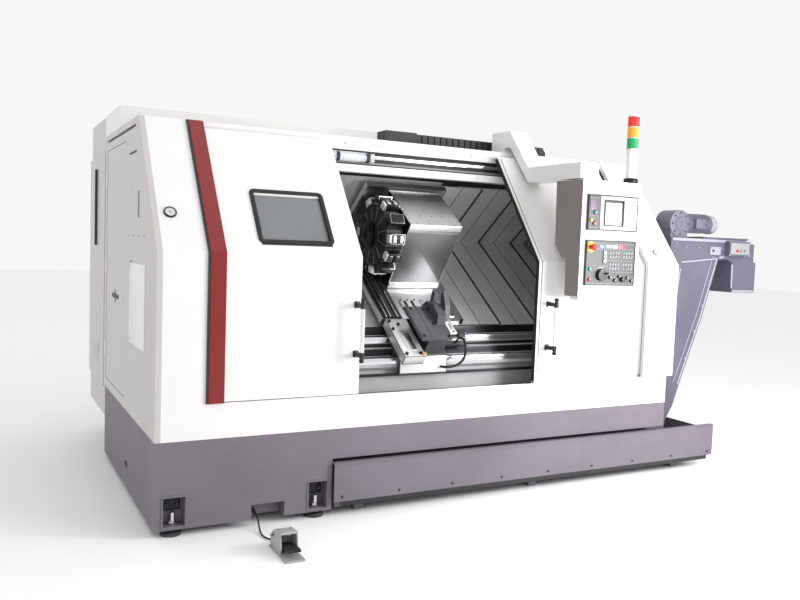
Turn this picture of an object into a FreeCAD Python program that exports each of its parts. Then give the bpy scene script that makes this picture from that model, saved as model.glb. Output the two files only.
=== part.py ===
"""Slant-bed CNC turning lathe with sliding doors, twelve-station turret, steady rest,
tailstock, operator pendant, chip conveyor, coolant tank and foot pedal.

All lengths are in millimetres.  Machine coordinates start at the front left bottom corner of
the base: X runs along the spindle, Y runs away from the operator, Z is up.  Every sub-part is
shifted by the same two amounts, centre_x and centre_y, so that the finished model stands on
the middle of its own footprint.
"""
import FreeCAD, Part
import math
import os
import Sketcher

Vector = FreeCAD.Vector

DRIVING = [
    # base and enclosure
    ("base_length", 3517), ("base_depth", 1709), ("base_top", 500), ("base_bottom", 40),
    ("skirt_top", 687), ("knee_height", 1467), ("roof_height", 2205), ("lean_angle", 36.96),
    ("sheet", 30), ("door_thickness", 32), ("door_gap", 3), ("inner_panel_depth", 46),
    ("inner_panel_sheet", 9), ("end_overhang", 59), ("corner_width", 268), ("trim_width", 82),
    ("trim_proud", 13), ("cover_rear", 1775), ("roof_plate", 25), ("roof_box_front", 1190),
    ("roof_box_height", 137), ("left_door_width", 773), ("opening_width", 1235),
    ("right_door_width", 872), ("strip_width", 63), ("door_bottom", 692), ("door_top", 2165),
    ("door_travel", 615),
    ("window_width", 410), ("window_height", 344), ("window_low", 68), ("window_side", 165),
    ("handle_low", 885), ("handle_length", 350), ("handle_standoff", 80), ("handle_radius", 12),
    # rear cabinet
    ("cabinet_length", 1485), ("cabinet_rear", 2590), ("cabinet_bottom", 270),
    ("cabinet_top", 2350), ("cabinet_wall", 12),
    # coolant tank and conveyor
    ("tank_left", 1000), ("tank_overhang", 314), ("tank_depth", 930), ("tank_top", 300),
    ("tank_bottom", 50), ("tank_wall", 8), ("tunnel_depth", 960), ("tunnel_top", 330),
    ("conveyor_front", 150), ("conveyor_width", 380), ("conveyor_wall", 8),
    ("head_overhang", 862), ("head_top", 1668), ("chute_overhang", 1004),
    # bed, headstock and spindle
    ("slope_angle", 35.6), ("slope_foot_y", 395), ("slope_foot_z", 1031), ("slope_length", 948),
    ("upper_leg", 608), ("upper_lean", 17.3), ("bed_left", 960), ("bed_right", 3285),
    ("headstock_left", 360), ("axis_y", 300), ("axis_z", 1371), ("spindle_radius", 95),
    ("bore_radius", 45), ("running_gap", 0.05), ("chuck_radius", 190), ("chuck_length", 110),
    ("jaw_width", 42), ("jaw_height", 50), ("rail_low", 857), ("rail_high", 972),
    # way covers, saddle and turret
    ("cover_sheet", 3), ("cover_step", 8), ("cover_pitch", 310), ("cover_length", 500),
    ("saddle_left", 1450), ("saddle_length", 590), ("saddle_slab", 40),
    ("turret_u", 514), ("turret_w", 332), ("turret_radius", 205), ("turret_thickness", 118),
    ("turret_stations", 12), ("holder_reach", 54), ("housing_front", 330),
    ("housing_back", 716), ("housing_top", 552), ("housing_left", 1610), ("housing_length", 380),
    # steady rest and tailstock
    ("steady_left", 1470), ("steady_length", 330), ("tail_left", 2760), ("tail_length", 390),
    ("quill_radius", 55), ("slide_gap", 1),
    # pendant, arm, signal tower
    ("pendant_left", 2500), ("pendant_width", 480), ("pendant_front", 215),
    ("pendant_bottom", 1260), ("pendant_top", 1985), ("arm_width", 145), ("arm_bottom", 1992),
    ("panel_proud", 12), ("tower_radius", 35),
    # foot pedal and its cable
    ("pedal_x", 515), ("pedal_width", 100), ("pedal_front", 545), ("pedal_length", 250),
    ("cable_diameter", 9),
]


class Size:
    """A number that remembers the spreadsheet formula it comes from."""

    def __init__(self, value, formula):
        self.value = float(value)
        self.formula = formula

    def __add__(self, other):
        return Size(self.value + number(other), f"({self.formula} + {text_of(other)})")

    def __radd__(self, other):
        return Size(number(other) + self.value, f"({text_of(other)} + {self.formula})")

    def __sub__(self, other):
        return Size(self.value - number(other), f"({self.formula} - {text_of(other)})")

    def __rsub__(self, other):
        return Size(number(other) - self.value, f"({text_of(other)} - {self.formula})")

    def __mul__(self, other):
        return Size(self.value * number(other), f"({self.formula} * {text_of(other)})")

    def __rmul__(self, other):
        return Size(number(other) * self.value, f"({text_of(other)} * {self.formula})")

    def __truediv__(self, other):
        return Size(self.value / number(other), f"({self.formula} / {text_of(other)})")

    def __rtruediv__(self, other):
        return Size(number(other) / self.value, f"({text_of(other)} / {self.formula})")

    def __neg__(self):
        return Size(-self.value, f"(0 - {self.formula})")


def number(size):
    return size.value if isinstance(size, Size) else float(size)


def text_of(size):
    return size.formula if isinstance(size, Size) else f"({float(size):.6f})"


def sine(angle):
    return Size(math.sin(math.radians(number(angle))), f"sin({text_of(angle)})")


def cosine(angle):
    return Size(math.cos(math.radians(number(angle))), f"cos({text_of(angle)})")


def tangent(angle):
    return Size(math.tan(math.radians(number(angle))), f"tan({text_of(angle)})")


class Sizes:
    """The driving dimensions, one spreadsheet cell and one attribute each."""

    def __init__(self, document):
        table = document.addObject("Spreadsheet::Sheet", "sizes")
        for row, (alias, value) in enumerate(DRIVING, start=1):
            table.set(f"A{row}", alias)
            table.set(f"B{row}", str(value))
            table.setAlias(f"B{row}", alias)
            setattr(self, alias, Size(value, f"sizes.{alias}"))
        document.recompute()


document = FreeCAD.newDocument("turning_lathe")
s = Sizes(document)
sub_parts = []

# The footprint runs from the left end to the conveyor's chute, and from the emergency
# button's face to the back of the rear cabinet.
BUTTON_REACH = 46
BUTTON_GAP = 0.5
front_reach = s.pendant_front + s.panel_proud + BUTTON_GAP + BUTTON_REACH
centre_x = (s.base_length + s.end_overhang + s.chute_overhang) / 2
centre_y = (s.cabinet_rear - front_reach) / 2


# ---------------------------------------------------------------- building helpers
def bind(item, name, size):
    """Set one property and tie it to the spreadsheet when the size has a formula."""
    if isinstance(size, Size):
        item.setExpression(name, size.formula)
    else:
        setattr(item, name, size)


def place(item, base=(0, 0, 0), axis=(0, 0, 1), angle=0):
    """Stand an object at a place in machine coordinates, turned about one axis."""
    spot = (base[0] - centre_x, base[1] - centre_y, base[2] + Size(0, "0"))
    turned = FreeCAD.Rotation(Vector(*axis), number(angle))
    item.Placement = FreeCAD.Placement(Vector(*[number(value) for value in spot]), turned)
    for letter, value in zip("xyz", spot):
        item.setExpression(f"Placement.Base.{letter}", value.formula)
    if isinstance(angle, Size):
        item.setExpression("Placement.Rotation.Angle", angle.formula)


def keep(item, label):
    """Name an object as a finished sub-part."""
    item.Label = label
    sub_parts.append(item)
    return item


def origin_plane(body, role):
    return [plane for plane in body.Origin.OriginFeatures if plane.Role == role][0]


def tie_point(sketch, index, position, point):
    """Hold one sketch point at its two distances from the sketch origin."""
    for kind, size in zip(("DistanceX", "DistanceY"), point):
        row = sketch.addConstraint(Sketcher.Constraint(kind, index, position, number(size)))
        if isinstance(size, Size):
            sketch.setExpression(f"Constraints[{row}]", size.formula)


def draw_loop(sketch, points):
    """A closed outline of straight lines through the given points."""
    first = sketch.GeometryCount
    count = len(points)
    corners = [Vector(number(a), number(b), 0) for a, b in points]
    for index in range(count):
        sketch.addGeometry(Part.LineSegment(corners[index], corners[(index + 1) % count]))
    for index in range(count):
        following = (index + 1) % count
        sketch.addConstraint(Sketcher.Constraint("Coincident", first + index, 2,
                                                 first + following, 1))
    for index, point in enumerate(points):
        tie_point(sketch, first + index, 1, point)


def draw_circle(sketch, centre, radius):
    spot = Vector(number(centre[0]), number(centre[1]), 0)
    index = sketch.addGeometry(Part.Circle(spot, Vector(0, 0, 1), number(radius)))
    tie_point(sketch, index, 3, centre)
    row = sketch.addConstraint(Sketcher.Constraint("Radius", index, number(radius)))
    if isinstance(radius, Size):
        sketch.setExpression(f"Constraints[{row}]", radius.formula)


def add_sketch(body, role, loops, circles=(), offset=0):
    """A sketch on one of the body's own planes, moved along that plane's normal."""
    sketch = body.newObject("Sketcher::SketchObject", f"{body.Name}_outline")
    sketch.AttachmentSupport = [(origin_plane(body, role), "")]
    sketch.MapMode = "FlatFace"
    for loop in loops:
        draw_loop(sketch, loop)
    for centre, radius in circles:
        draw_circle(sketch, centre, radius)
    shift = offset + Size(0, "0")
    sketch.setExpression("AttachmentOffset.Base.z", shift.formula)
    return sketch


def prism(name, along, start, length, loops, circles=(), base=(0, 0, 0), turn=0, spin=(1, 0, 0)):
    """A padded outline.  along is the machine axis it is pushed along: for X the outline is
    drawn in (Y, Z), for Y in (X, Z) and for Z in (X, Y)."""
    body = document.addObject("PartDesign::Body", name)
    role = {"X": "YZ_Plane", "Y": "XZ_Plane", "Z": "XY_Plane"}[along]
    # The XZ plane's normal points to -Y, so a pad along Y starts from its far side.
    offset = -(start + length + Size(0, "0")) if along == "Y" else start
    sketch = add_sketch(body, role, loops, circles, offset)
    pad = body.newObject("PartDesign::Pad", f"{name}_pad")
    pad.Profile = sketch
    bind(pad, "Length", length)
    place(body, base, spin, turn)
    return body


def turned(name, outline, base=(0, 0, 0), axis=(0, 1, 0), angle=0):
    """A lathe-turned piece: (radius, height) outline revolved about its own Z."""
    body = document.addObject("PartDesign::Body", name)
    sketch = add_sketch(body, "XZ_Plane", [outline])
    revolution = body.newObject("PartDesign::Revolution", f"{name}_turn")
    revolution.Profile = sketch
    revolution.ReferenceAxis = (sketch, ["V_Axis"])
    revolution.Angle = 360
    place(body, base, axis, angle)
    return body


def box(name, low, high):
    """A block between two opposite corners."""
    block = document.addObject("Part::Box", name)
    for side, a, b in zip(("Length", "Width", "Height"), low, high):
        bind(block, side, b - a + Size(0, "0"))
    place(block, low)
    return block


def slope_box(name, left, right, low, high):
    """A block in the slanted bed's frame: low and high are (along slope, off slope)."""
    block = document.addObject("Part::Box", name)
    for side, a, b in zip(("Length", "Width", "Height"), (left, low[0], low[1]),
                          (right, high[0], high[1])):
        bind(block, side, b - a + Size(0, "0"))
    y, z = on_slope(low[0], low[1])
    place(block, (left, y, z), (1, 0, 0), s.slope_angle)
    return block


def rod(name, along, start, radius, length):
    """A round bar along X, Y or Z from its start point."""
    bar = document.addObject("Part::Cylinder", name)
    bind(bar, "Radius", radius)
    bind(bar, "Height", length)
    axis, angle = {"X": ((0, 1, 0), 90), "Y": ((1, 0, 0), -90), "Z": ((0, 0, 1), 0)}[along]
    place(bar, start, axis, angle)
    return bar


def fuse(name, pieces):
    joined = document.addObject("Part::MultiFuse", name)
    joined.Shapes = pieces
    joined.Refine = True
    return joined


def cut(name, whole, tools):
    """Take one tool or several away from a piece."""
    removed = tools[0] if len(tools) == 1 else fuse(f"{name}_tools", tools)
    result = document.addObject("Part::Cut", name)
    result.Base = whole
    result.Tool = removed
    result.Refine = True
    return result


def on_slope(u, w):
    """Machine (Y, Z) of a point u up the bed's slope and w off its surface."""
    y = s.slope_foot_y + u * cosine(s.slope_angle) - w * sine(s.slope_angle)
    z = s.slope_foot_z + u * sine(s.slope_angle) + w * cosine(s.slope_angle)
    return y, z


def knee(depth):
    """Height at which a sheet lying depth behind the front face bends back."""
    return s.knee_height - depth * tangent(s.lean_angle / 2)


def lean_y(height, depth):
    """Y of the leaning face, depth behind the outer face, at a height."""
    return (height - s.knee_height) * tangent(s.lean_angle) + depth / cosine(s.lean_angle)


def front_band(outer, inner, bottom, top):
    """Outline of a bent front sheet: upright below the knee, leaning back above it."""
    return [(outer, bottom), (outer, knee(outer)), (lean_y(top, outer), top),
            (lean_y(top, inner), top), (inner, knee(inner)), (inner, bottom)]


def rectangle(a0, b0, a1, b1):
    return [(a0, b0), (a1, b0), (a1, b1), (a0, b1)]


# ---------------------------------------------------------------- driving places along X
trim_right = s.corner_width + s.trim_width
left_door_left = trim_right + s.door_gap
left_door_right = left_door_left + s.left_door_width
right_door_left = left_door_right + s.opening_width
right_door_right = right_door_left + s.right_door_width
strip_right = right_door_right + s.strip_width
cover_right = s.base_length + s.end_overhang
tank_right = cover_right + s.tank_overhang
head_right = cover_right + s.head_overhang
chute_right = cover_right + s.chute_overhang
saddle_right = s.saddle_left + s.saddle_length


# ---------------------------------------------------------------- base, pads, skirt
POCKETS_X = ((48, 159), (842, 948))
POCKET_Z = (60, 208)
POCKET_DEPTH = 70
WINDOW_X = (514, 701)
WINDOW_TOP = 122
WINDOW_DEPTH = 90


def build_base():
    """The cast base with foot pockets, a cable window, a tank tunnel and a chip slot."""
    casting = prism("base_casting", "X", 0, s.base_length,
                    [rectangle(0, s.base_bottom, s.base_depth, s.base_top)])
    tools = [box("foot_pocket", (a, -1, POCKET_Z[0]), (b, POCKET_DEPTH, POCKET_Z[1]))
             for a, b in POCKETS_X]
    tools.append(box("cable_window", (WINDOW_X[0], -1, s.base_bottom - 1),
                     (WINDOW_X[1], WINDOW_DEPTH, WINDOW_TOP)))
    tools.append(box("tank_tunnel", (s.tank_left - 20, -1, s.base_bottom - 1),
                     (s.base_length + 1, s.tunnel_depth, s.tunnel_top)))
    tools.append(box("chip_slot", (s.tank_left + 60, 60, s.tunnel_top - 1),
                     (s.bed_right - 60, 222, s.base_top + 1)))
    tools.append(box("side_slot", (-1, 800, 160), (60, 850, 200)))
    for y in (800, 850):
        tools.append(rod("side_slot_end", "X", (-1, y, 180), 20, 61))
    keep(cut("base_cut", casting, tools), "bed_base")


PAD_PLACES = ((101, 62), (898, 62), (101, 1640), (898, 1640), (2200, 1010), (2200, 1640),
              (3400, 1010), (3400, 1640))


def build_pads():
    """Levelling pads: a round foot, a stud and a nut under the base, all alike."""
    pads = []
    for x, y in PAD_PLACES:
        pads.append(turned("levelling_pad", [(0, 0), (54, 0), (54, 14), (44, 22), (20, 22),
                                             (20, s.base_bottom), (0, s.base_bottom)],
                           (x, y, 0)))
    group = document.addObject("Part::Compound", "pad_group")
    group.Links = pads
    keep(group, "leveling_pads")


def build_skirt():
    """The light band round the base's top, with the sill that drains inwards."""
    top = s.skirt_top
    outline = [(0, s.base_top), (0, top), (62, top), (130, top - 34), (130, top - 46),
               (60, top - 14), (s.sheet, top - 14), (s.sheet, s.base_top)]
    front = prism("skirt_band", "X", s.corner_width, s.base_length - s.corner_width, [outline])
    side = box("skirt_return", (s.base_length - s.sheet, s.sheet, s.base_top),
               (s.base_length, s.base_depth, top - 1))
    keep(fuse("skirt_whole", [front, side]), "base_skirt")


# ---------------------------------------------------------------- coolant tank and conveyor
def build_tank():
    """The open coolant tank on its skids, and the long front cover hung on it."""
    tub = box("tank_outside", (s.tank_left, 2, s.tank_bottom),
              (tank_right, s.tank_depth, s.tank_top))
    inside = box("tank_inside", (s.tank_left + s.tank_wall, 2 + s.tank_wall,
                                 s.tank_bottom + s.tank_wall),
                 (tank_right - s.tank_wall, s.tank_depth - s.tank_wall, s.tank_top + 1))
    hollow = cut("tank_tub", tub, [inside])
    skids = [box("tank_skid", (x, 60, 0), (x + 60, s.tank_depth - 60, s.tank_bottom))
             for x in (s.tank_left + 150, s.tank_left + 1400, tank_right - 210)]
    keep(fuse("tank_on_skids", [hollow] + skids), "coolant_tank")
    lip = [(-30, 88), (-30, 312), (1, 312), (1, 300), (-22, 300), (-22, 88)]
    panel = prism("tank_panel", "X", s.tank_left - 18, tank_right - s.tank_left + 118, [lip])
    keep(panel, "tank_front_panel")


def conveyor_outline(inset):
    """Side view of the conveyor: flat run in the tank, a steep rise and the head."""
    low = 110 + inset
    left = s.tank_left + 60 + inset
    end = cover_right - inset
    under = cover_right + inset
    return [(left, low), (end + 74, low), (end + 114, 330), (end + 179, 430), (end + 232, 580),
            (end + 429, 1080), (end + 567, 1514 + inset), (head_right - inset, 1540 + inset),
            (head_right - inset, s.head_top - inset), (under + 73, s.head_top - inset),
            (under + 73, 1571), (under + 155, 1481), (under + 24, 520),
            (under - 16, 300 - inset), (left, 300 - inset)]


def build_conveyor():
    """Hollow hinged-belt casing, open above its flat run and under its head, with a
    discharge chute, a control box and the rounded chain guard on its side."""
    rear = s.conveyor_front + s.conveyor_width
    casing = prism("conveyor_shell", "Y", s.conveyor_front, s.conveyor_width,
                   [conveyor_outline(0)])
    hollow = prism("conveyor_hollow", "Y", s.conveyor_front + s.conveyor_wall,
                   s.conveyor_width - 2 * s.conveyor_wall, [conveyor_outline(s.conveyor_wall)])
    mouth = box("conveyor_mouth", (s.tank_left + 80, s.conveyor_front + s.conveyor_wall, 270),
                (cover_right - 96, rear - s.conveyor_wall, 320))
    drop = box("conveyor_drop", (cover_right + 724, s.conveyor_front + 40, 1500),
               (head_right - 40, rear - 40, 1570))
    open_casing = cut("conveyor_open", casing, [hollow, mouth, drop])
    neck = cover_right + 734
    chute_outline = [(neck - 70, 1520), (neck, 1500), (neck, 1380), (neck + 20, 1267),
                     (chute_right, 1267), (chute_right, 1495), (head_right, 1545),
                     (neck - 70, 1536)]
    chute = prism("chute_outside", "Y", s.conveyor_front + 18, s.conveyor_width - 36,
                  [chute_outline])
    chute_hollow = box("chute_hollow", (neck + 32, s.conveyor_front + 40, 1200),
                       (chute_right - 12, rear - 40, 1480))
    chute_neck = box("chute_neck", (neck + 32, s.conveyor_front + 40, 1470),
                     (head_right - 40, rear - 40, 1560))
    chute_open = cut("chute_open", chute, [chute_hollow, chute_neck])
    front_box = box("head_box", (cover_right + 629, s.conveyor_front - 46, 1546),
                    (cover_right + 857, s.conveyor_front, 1656))
    control_box = box("head_controls", (head_right, s.conveyor_front + 30, 1500),
                      (chute_right - 12, s.conveyor_front + 200, 1640))
    flange = box("head_plate", (cover_right + 384, s.conveyor_front - 12, s.head_top),
                 (head_right + 8, rear + 12, s.head_top + 12))
    pieces = [open_casing, chute_open, front_box, control_box, flange]
    keep(fuse("conveyor_whole", pieces), "conveyor_casing")


def build_conveyor_drive():
    """Gear motor on the conveyor's head: rounded gearbox, motor barrel and fan cowl."""
    y = s.conveyor_front + 95
    axis_height = s.head_top + 100
    gearbox = rod("gearbox_round", "Y", (cover_right + 169, y - 70, axis_height), 98, 140)
    foot = box("gearbox_foot", (cover_right + 86, y - 70, s.head_top),
               (cover_right + 252, y + 70, axis_height))
    barrel = rod("motor_barrel", "X", (cover_right + 259, y, axis_height + 5), 66, 260)
    neck = rod("motor_neck", "X", (cover_right + 169, y, axis_height + 5), 50, 100)
    cowl = rod("fan_cowl", "X", (cover_right + 519, y, axis_height + 5), 60, 62)
    keep(fuse("gear_motor", [gearbox, foot, neck, barrel, cowl]), "conveyor_drive")


# ---------------------------------------------------------------- enclosure
END_DOOR = (955, 560, 1700, 2100)


def build_end_covers():
    """Left end wall with its door opening, corner cover, red trim, and the right end cover."""
    wall = [(0, s.base_top), (0, s.knee_height), (lean_y(s.roof_height, 0), s.roof_height),
            (s.cover_rear, s.roof_height), (s.cover_rear, s.base_top)]
    left = prism("left_wall", "X", 0, s.sheet, [wall, rectangle(*END_DOOR),
                                                rectangle(640, 2150, 1690, 2168)])
    keep(left, "left_end_cover")
    corner = prism("corner_sheet", "X", s.sheet, s.corner_width - s.sheet,
                   [front_band(0, s.sheet, s.base_top, s.roof_height)])
    keep(corner, "left_corner_cover")
    trim = prism("trim_strip", "X", s.corner_width, s.trim_width,
                 [front_band(-s.trim_proud, s.door_thickness, s.skirt_top, s.roof_height)])
    keep(trim, "red_trim")
    front = prism("right_sheet", "X", strip_right, cover_right - strip_right - s.sheet,
                  [front_band(0, s.sheet, s.skirt_top, s.roof_height)])
    right_wall = [(0, s.skirt_top), (0, s.knee_height),
                  (lean_y(s.roof_height, 0), s.roof_height), (s.cover_rear, s.roof_height),
                  (s.cover_rear, s.skirt_top)]
    side = prism("right_wall", "X", cover_right - s.sheet, s.sheet, [right_wall])
    keep(fuse("right_cover", [front, side]), "right_end_cover")


def build_roof_and_back():
    """Flat roof with its raised box, the two header beams over the opening, the back wall."""
    low = s.roof_height - s.roof_plate
    plate = box("roof_plate_sheet", (s.sheet, 600, low),
                (cover_right - s.sheet, s.cover_rear, s.roof_height))
    raised = box("roof_raised", (0, s.roof_box_front, s.roof_height),
                 (3300, s.cover_rear + 15, s.roof_height + s.roof_box_height))
    inside = box("roof_raised_inside", (s.cabinet_wall, s.roof_box_front + s.cabinet_wall, low - 1),
                 (3300 - s.cabinet_wall, s.cover_rear + 3 - s.cabinet_wall,
                  s.roof_height + s.roof_box_height - s.cabinet_wall))
    upper = box("upper_header", (trim_right + 2, 575, 2125), (strip_right - 2, 606, s.roof_height))
    web = box("header_web", (trim_right + 2, 600, 1985), (strip_right - 2, 606, 2130))
    lower = box("lower_header", (trim_right + 2, 520, 1985), (strip_right - 2, 606, 2030))
    solid_roof = fuse("roof_whole", [plate, raised, upper, web, lower])
    keep(cut("roof_hollow", solid_roof, [inside]), "roof_cover")
    back = box("back_sheet", (s.sheet, s.cover_rear - 20, s.base_top),
               (cover_right - s.sheet, s.cover_rear, low))
    keep(back, "back_cover")


def build_inner_panels():
    """Fixed panels behind both doors, which close the front where a door has slid away."""
    outline = front_band(s.inner_panel_depth, s.inner_panel_depth + s.inner_panel_sheet,
                         s.skirt_top, 1975)
    left = prism("inner_left", "X", trim_right + 2, s.door_travel - 30, [outline])
    right_start = right_door_right - s.door_travel + 30
    right = prism("inner_right", "X", right_start, strip_right - 2 - right_start, [outline])
    group = document.addObject("Part::Compound", "inner_pair")
    group.Links = [left, right]
    keep(group, "inner_front_panels")


def build_end_door():
    """Door in the left end wall, with a latch plate sunk in it."""
    y0, z0, y1, z1 = END_DOOR
    gap = s.door_gap
    sheet = box("end_door_sheet", (2, y0 + gap, z0 + gap), (s.sheet - 4, y1 - gap, z1 - gap))
    recess = box("end_door_latch", (1, 1290, 1110), (14, 1350, 1190))
    keep(cut("end_door_cut", sheet, [recess]), "left_end_door")


def build_rear_cabinet():
    """Electrical cabinet behind the enclosure, hollow, with a door on its left side."""
    left = 15
    front = s.cover_rear + 15
    outside = box("cabinet_outside", (left, front, s.cabinet_bottom),
                  (left + s.cabinet_length, s.cabinet_rear, s.cabinet_top))
    wall = s.cabinet_wall
    inside = box("cabinet_inside", (left + wall, front + wall, s.cabinet_bottom + wall),
                 (left + s.cabinet_length - wall, s.cabinet_rear - wall, s.cabinet_top - wall))
    doorway = box("cabinet_doorway", (left - 1, front + 42, s.cabinet_bottom + 230),
                  (left + wall + 1, s.cabinet_rear - 42, s.cabinet_top - 270))
    keep(cut("cabinet_shell", outside, [inside, doorway]), "rear_cabinet")
    door = box("cabinet_door", (0, front + 20, s.cabinet_bottom + 215),
               (left - 1, s.cabinet_rear - 20, s.cabinet_top - 255))
    keep(door, "rear_cabinet_door")


def build_doors():
    """The two bent sliding doors.  The left one has a window cut square to its lean."""
    outline = front_band(0, s.door_thickness, s.door_bottom, s.door_top)
    left = prism("left_door_sheet", "X", left_door_left, s.left_door_width, [outline])
    lean_low = s.window_low / cosine(s.lean_angle)
    window_z = s.knee_height + lean_low * cosine(s.lean_angle)
    window_x = left_door_right - s.window_side - s.window_width
    opening = document.addObject("Part::Box", "window_opening")
    bind(opening, "Length", s.window_width)
    bind(opening, "Width", s.door_thickness + 60)
    bind(opening, "Height", s.window_height)
    start_y = lean_y(window_z, -30)
    place(opening, (window_x, start_y, window_z), (1, 0, 0), -s.lean_angle)
    keep(cut("left_door_cut", left, [opening]), "left_door")
    pane = document.addObject("Part::Box", "window_pane")
    bind(pane, "Length", s.window_width)
    bind(pane, "Width", 12)
    bind(pane, "Height", s.window_height)
    # The pane starts 8 mm under the door's face, where the opening's lower edge runs square
    # to the leaning sheet.
    sunk = 38
    place(pane, (window_x, start_y + sunk * cosine(s.lean_angle),
                 window_z - sunk * sine(s.lean_angle)), (1, 0, 0), -s.lean_angle)
    keep(pane, "left_window")
    right = prism("right_door_sheet", "X", right_door_left, s.right_door_width, [outline])
    keep(right, "right_door")


def build_handle(label, x):
    """Upright bar on two square posts."""
    y = -s.handle_standoff
    bar = rod(f"{label}_bar", "Z", (x, y, s.handle_low), s.handle_radius, s.handle_length)
    posts = [box(f"{label}_post", (x - 11, y, z), (x + 11, 0, z + 24))
             for z in (s.handle_low + 24, s.handle_low + s.handle_length - 48)]
    keep(fuse(f"{label}_fused", [bar] + posts), label)


def build_lamp():
    """Work lamp: a glass tube in two clamps under the upper header."""
    tube = rod("lamp_tube", "X", (1165, 548, 2078), 23, 255)
    ends = [box("lamp_clamp", (x, 524, 2052), (x + 22, 600, 2104)) for x in (1150, 1410)]
    keep(fuse("lamp_fused", [tube] + ends), "work_lamp")


def build_cable_chain():
    """Ribbed cable carrier lying on the roof behind the front edge, with its end box."""
    top = s.roof_height + 104
    front = 830
    rear = 945
    left = 1890
    pitch = 50
    count = 22
    end_box = box("chain_end_box", (left - 235, front - 12, s.roof_height),
                  (left, rear + 12, top))
    links = []
    for index in range(count):
        x = left + 2 + index * pitch
        links.append(box("chain_link", (x, front, s.roof_height + 6),
                         (x + pitch - 10, rear, top - 6)))
    right = left + count * pitch - 20
    spine = box("chain_spine", (left - 2, front + 10, s.roof_height), (right, rear - 10, top - 16))
    nose = rod("chain_nose", "Y", (right, front + 10, s.roof_height + 49), 43, rear - front - 20)
    keep(fuse("chain_fused", [end_box, spine, nose] + links), "cable_chain")


# ---------------------------------------------------------------- bed, headstock, spindle
def valley(offset, thickness, lower_end=0):
    """V outline of a way cover in the slope frame: offset below the top cover's surface."""
    def corner(depth):
        bend = (1 + sine(s.upper_lean)) / cosine(s.upper_lean)
        return (s.slope_length + depth * bend, -depth)

    def top(depth):
        return (s.slope_length - s.upper_leg * sine(s.upper_lean)
                + depth * cosine(s.upper_lean),
                s.upper_leg * cosine(s.upper_lean) + depth * sine(s.upper_lean))
    near = offset + Size(0, "0")
    far = offset + thickness + Size(0, "0")
    return [(lower_end, -near), corner(near), top(near), top(far), corner(far),
            (lower_end, -far)]


def slope_prism(name, start, length, loops):
    """A prism along X whose outline is drawn in the slope frame."""
    return prism(name, "X", start, length, loops, (),
                 (0, s.slope_foot_y, s.slope_foot_z), s.slope_angle, (1, 0, 0))


def build_bed():
    """Slant-bed casting: two stepped front ways for steady rest and tailstock, and the
    sloping face under the way covers."""
    face_depth = 45
    foot = on_slope(0, -face_depth)
    bend = s.slope_length + face_depth * (1 + sine(s.upper_lean)) / cosine(s.upper_lean)
    ridge = on_slope(bend, -face_depth)
    outline = [(230, s.base_top), (230, 780), (195, s.rail_low - 54), (195, s.rail_low),
               (270, s.rail_low), (270, s.rail_high - 65), (300, s.rail_high - 65),
               (300, s.rail_high), (378, s.rail_high), foot, ridge, (1400, ridge[1]),
               (1400, s.base_top)]
    bed = prism("bed_casting", "X", s.bed_left, s.bed_right - s.bed_left, [outline])
    keep(bed, "slant_bed")


def build_headstock():
    """Headstock casting with the bore in which the spindle turns."""
    outline = [(215, s.base_top), (215, 720), (110, 790), (110, 1480), (330, 1700), (900, 1700),
               (900, s.base_top)]
    casting = prism("headstock_casting", "X", s.headstock_left,
                    s.bed_left - 1 - s.headstock_left, [outline],
                    [((s.axis_y, s.axis_z), s.spindle_radius + s.running_gap)])
    keep(casting, "headstock")


def build_spindle():
    """Hollow spindle with a nose flange, the chuck body and its three jaws."""
    start = s.headstock_left - 10
    neck = s.bed_left - start + 15
    shaft = turned("spindle_shaft", [(s.bore_radius, 0), (s.spindle_radius, 0),
                                     (s.spindle_radius, neck), (130, neck), (130, neck + 35),
                                     (s.bore_radius, neck + 35)],
                   (start, s.axis_y, s.axis_z), (0, 1, 0), 90)
    keep(shaft, "spindle")
    chuck_left = start + neck + 35
    outer = s.chuck_radius
    body = turned("chuck_turned", [(s.bore_radius, 0), (outer - 8, 0), (outer, 8),
                                   (outer, s.chuck_length - 10),
                                   (outer - 10, s.chuck_length),
                                   (s.bore_radius, s.chuck_length)],
                  (chuck_left, s.axis_y, s.axis_z), (0, 1, 0), 90)
    keep(body, "chuck_body")
    jaw_left = chuck_left + s.chuck_length + 0.5
    for index in range(3):
        half = s.jaw_width / 2
        outline = [(-half, 68), (half, 68), (half, outer - 18), (-half, outer - 18)]
        step = [(-half, 105), (half, 105), (half, outer - 40), (-half, outer - 40)]
        jaw = document.addObject("PartDesign::Body", f"jaw_{index + 1}")
        sketch = add_sketch(jaw, "XY_Plane", [outline])
        pad = jaw.newObject("PartDesign::Pad", f"jaw_pad_{index + 1}")
        pad.Profile = sketch
        bind(pad, "Length", s.jaw_height / 2)
        raised = add_sketch(jaw, "XY_Plane", [step], (), s.jaw_height / 2)
        second = jaw.newObject("PartDesign::Pad", f"jaw_step_{index + 1}")
        second.Profile = raised
        bind(second, "Length", s.jaw_height / 2)
        spot = (jaw_left, s.axis_y, s.axis_z)
        place(jaw, spot)
        upright = FreeCAD.Rotation(Vector(0, 1, 0), 90)
        around = FreeCAD.Rotation(Vector(1, 0, 0), 90 + 120 * index)
        jaw.Placement = FreeCAD.Placement(jaw.Placement.Base, around.multiply(upright))
        keep(jaw, f"chuck_jaw_{index + 1}")


# ---------------------------------------------------------------- way covers and turret
COVER_OVERLAP = 190


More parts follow.
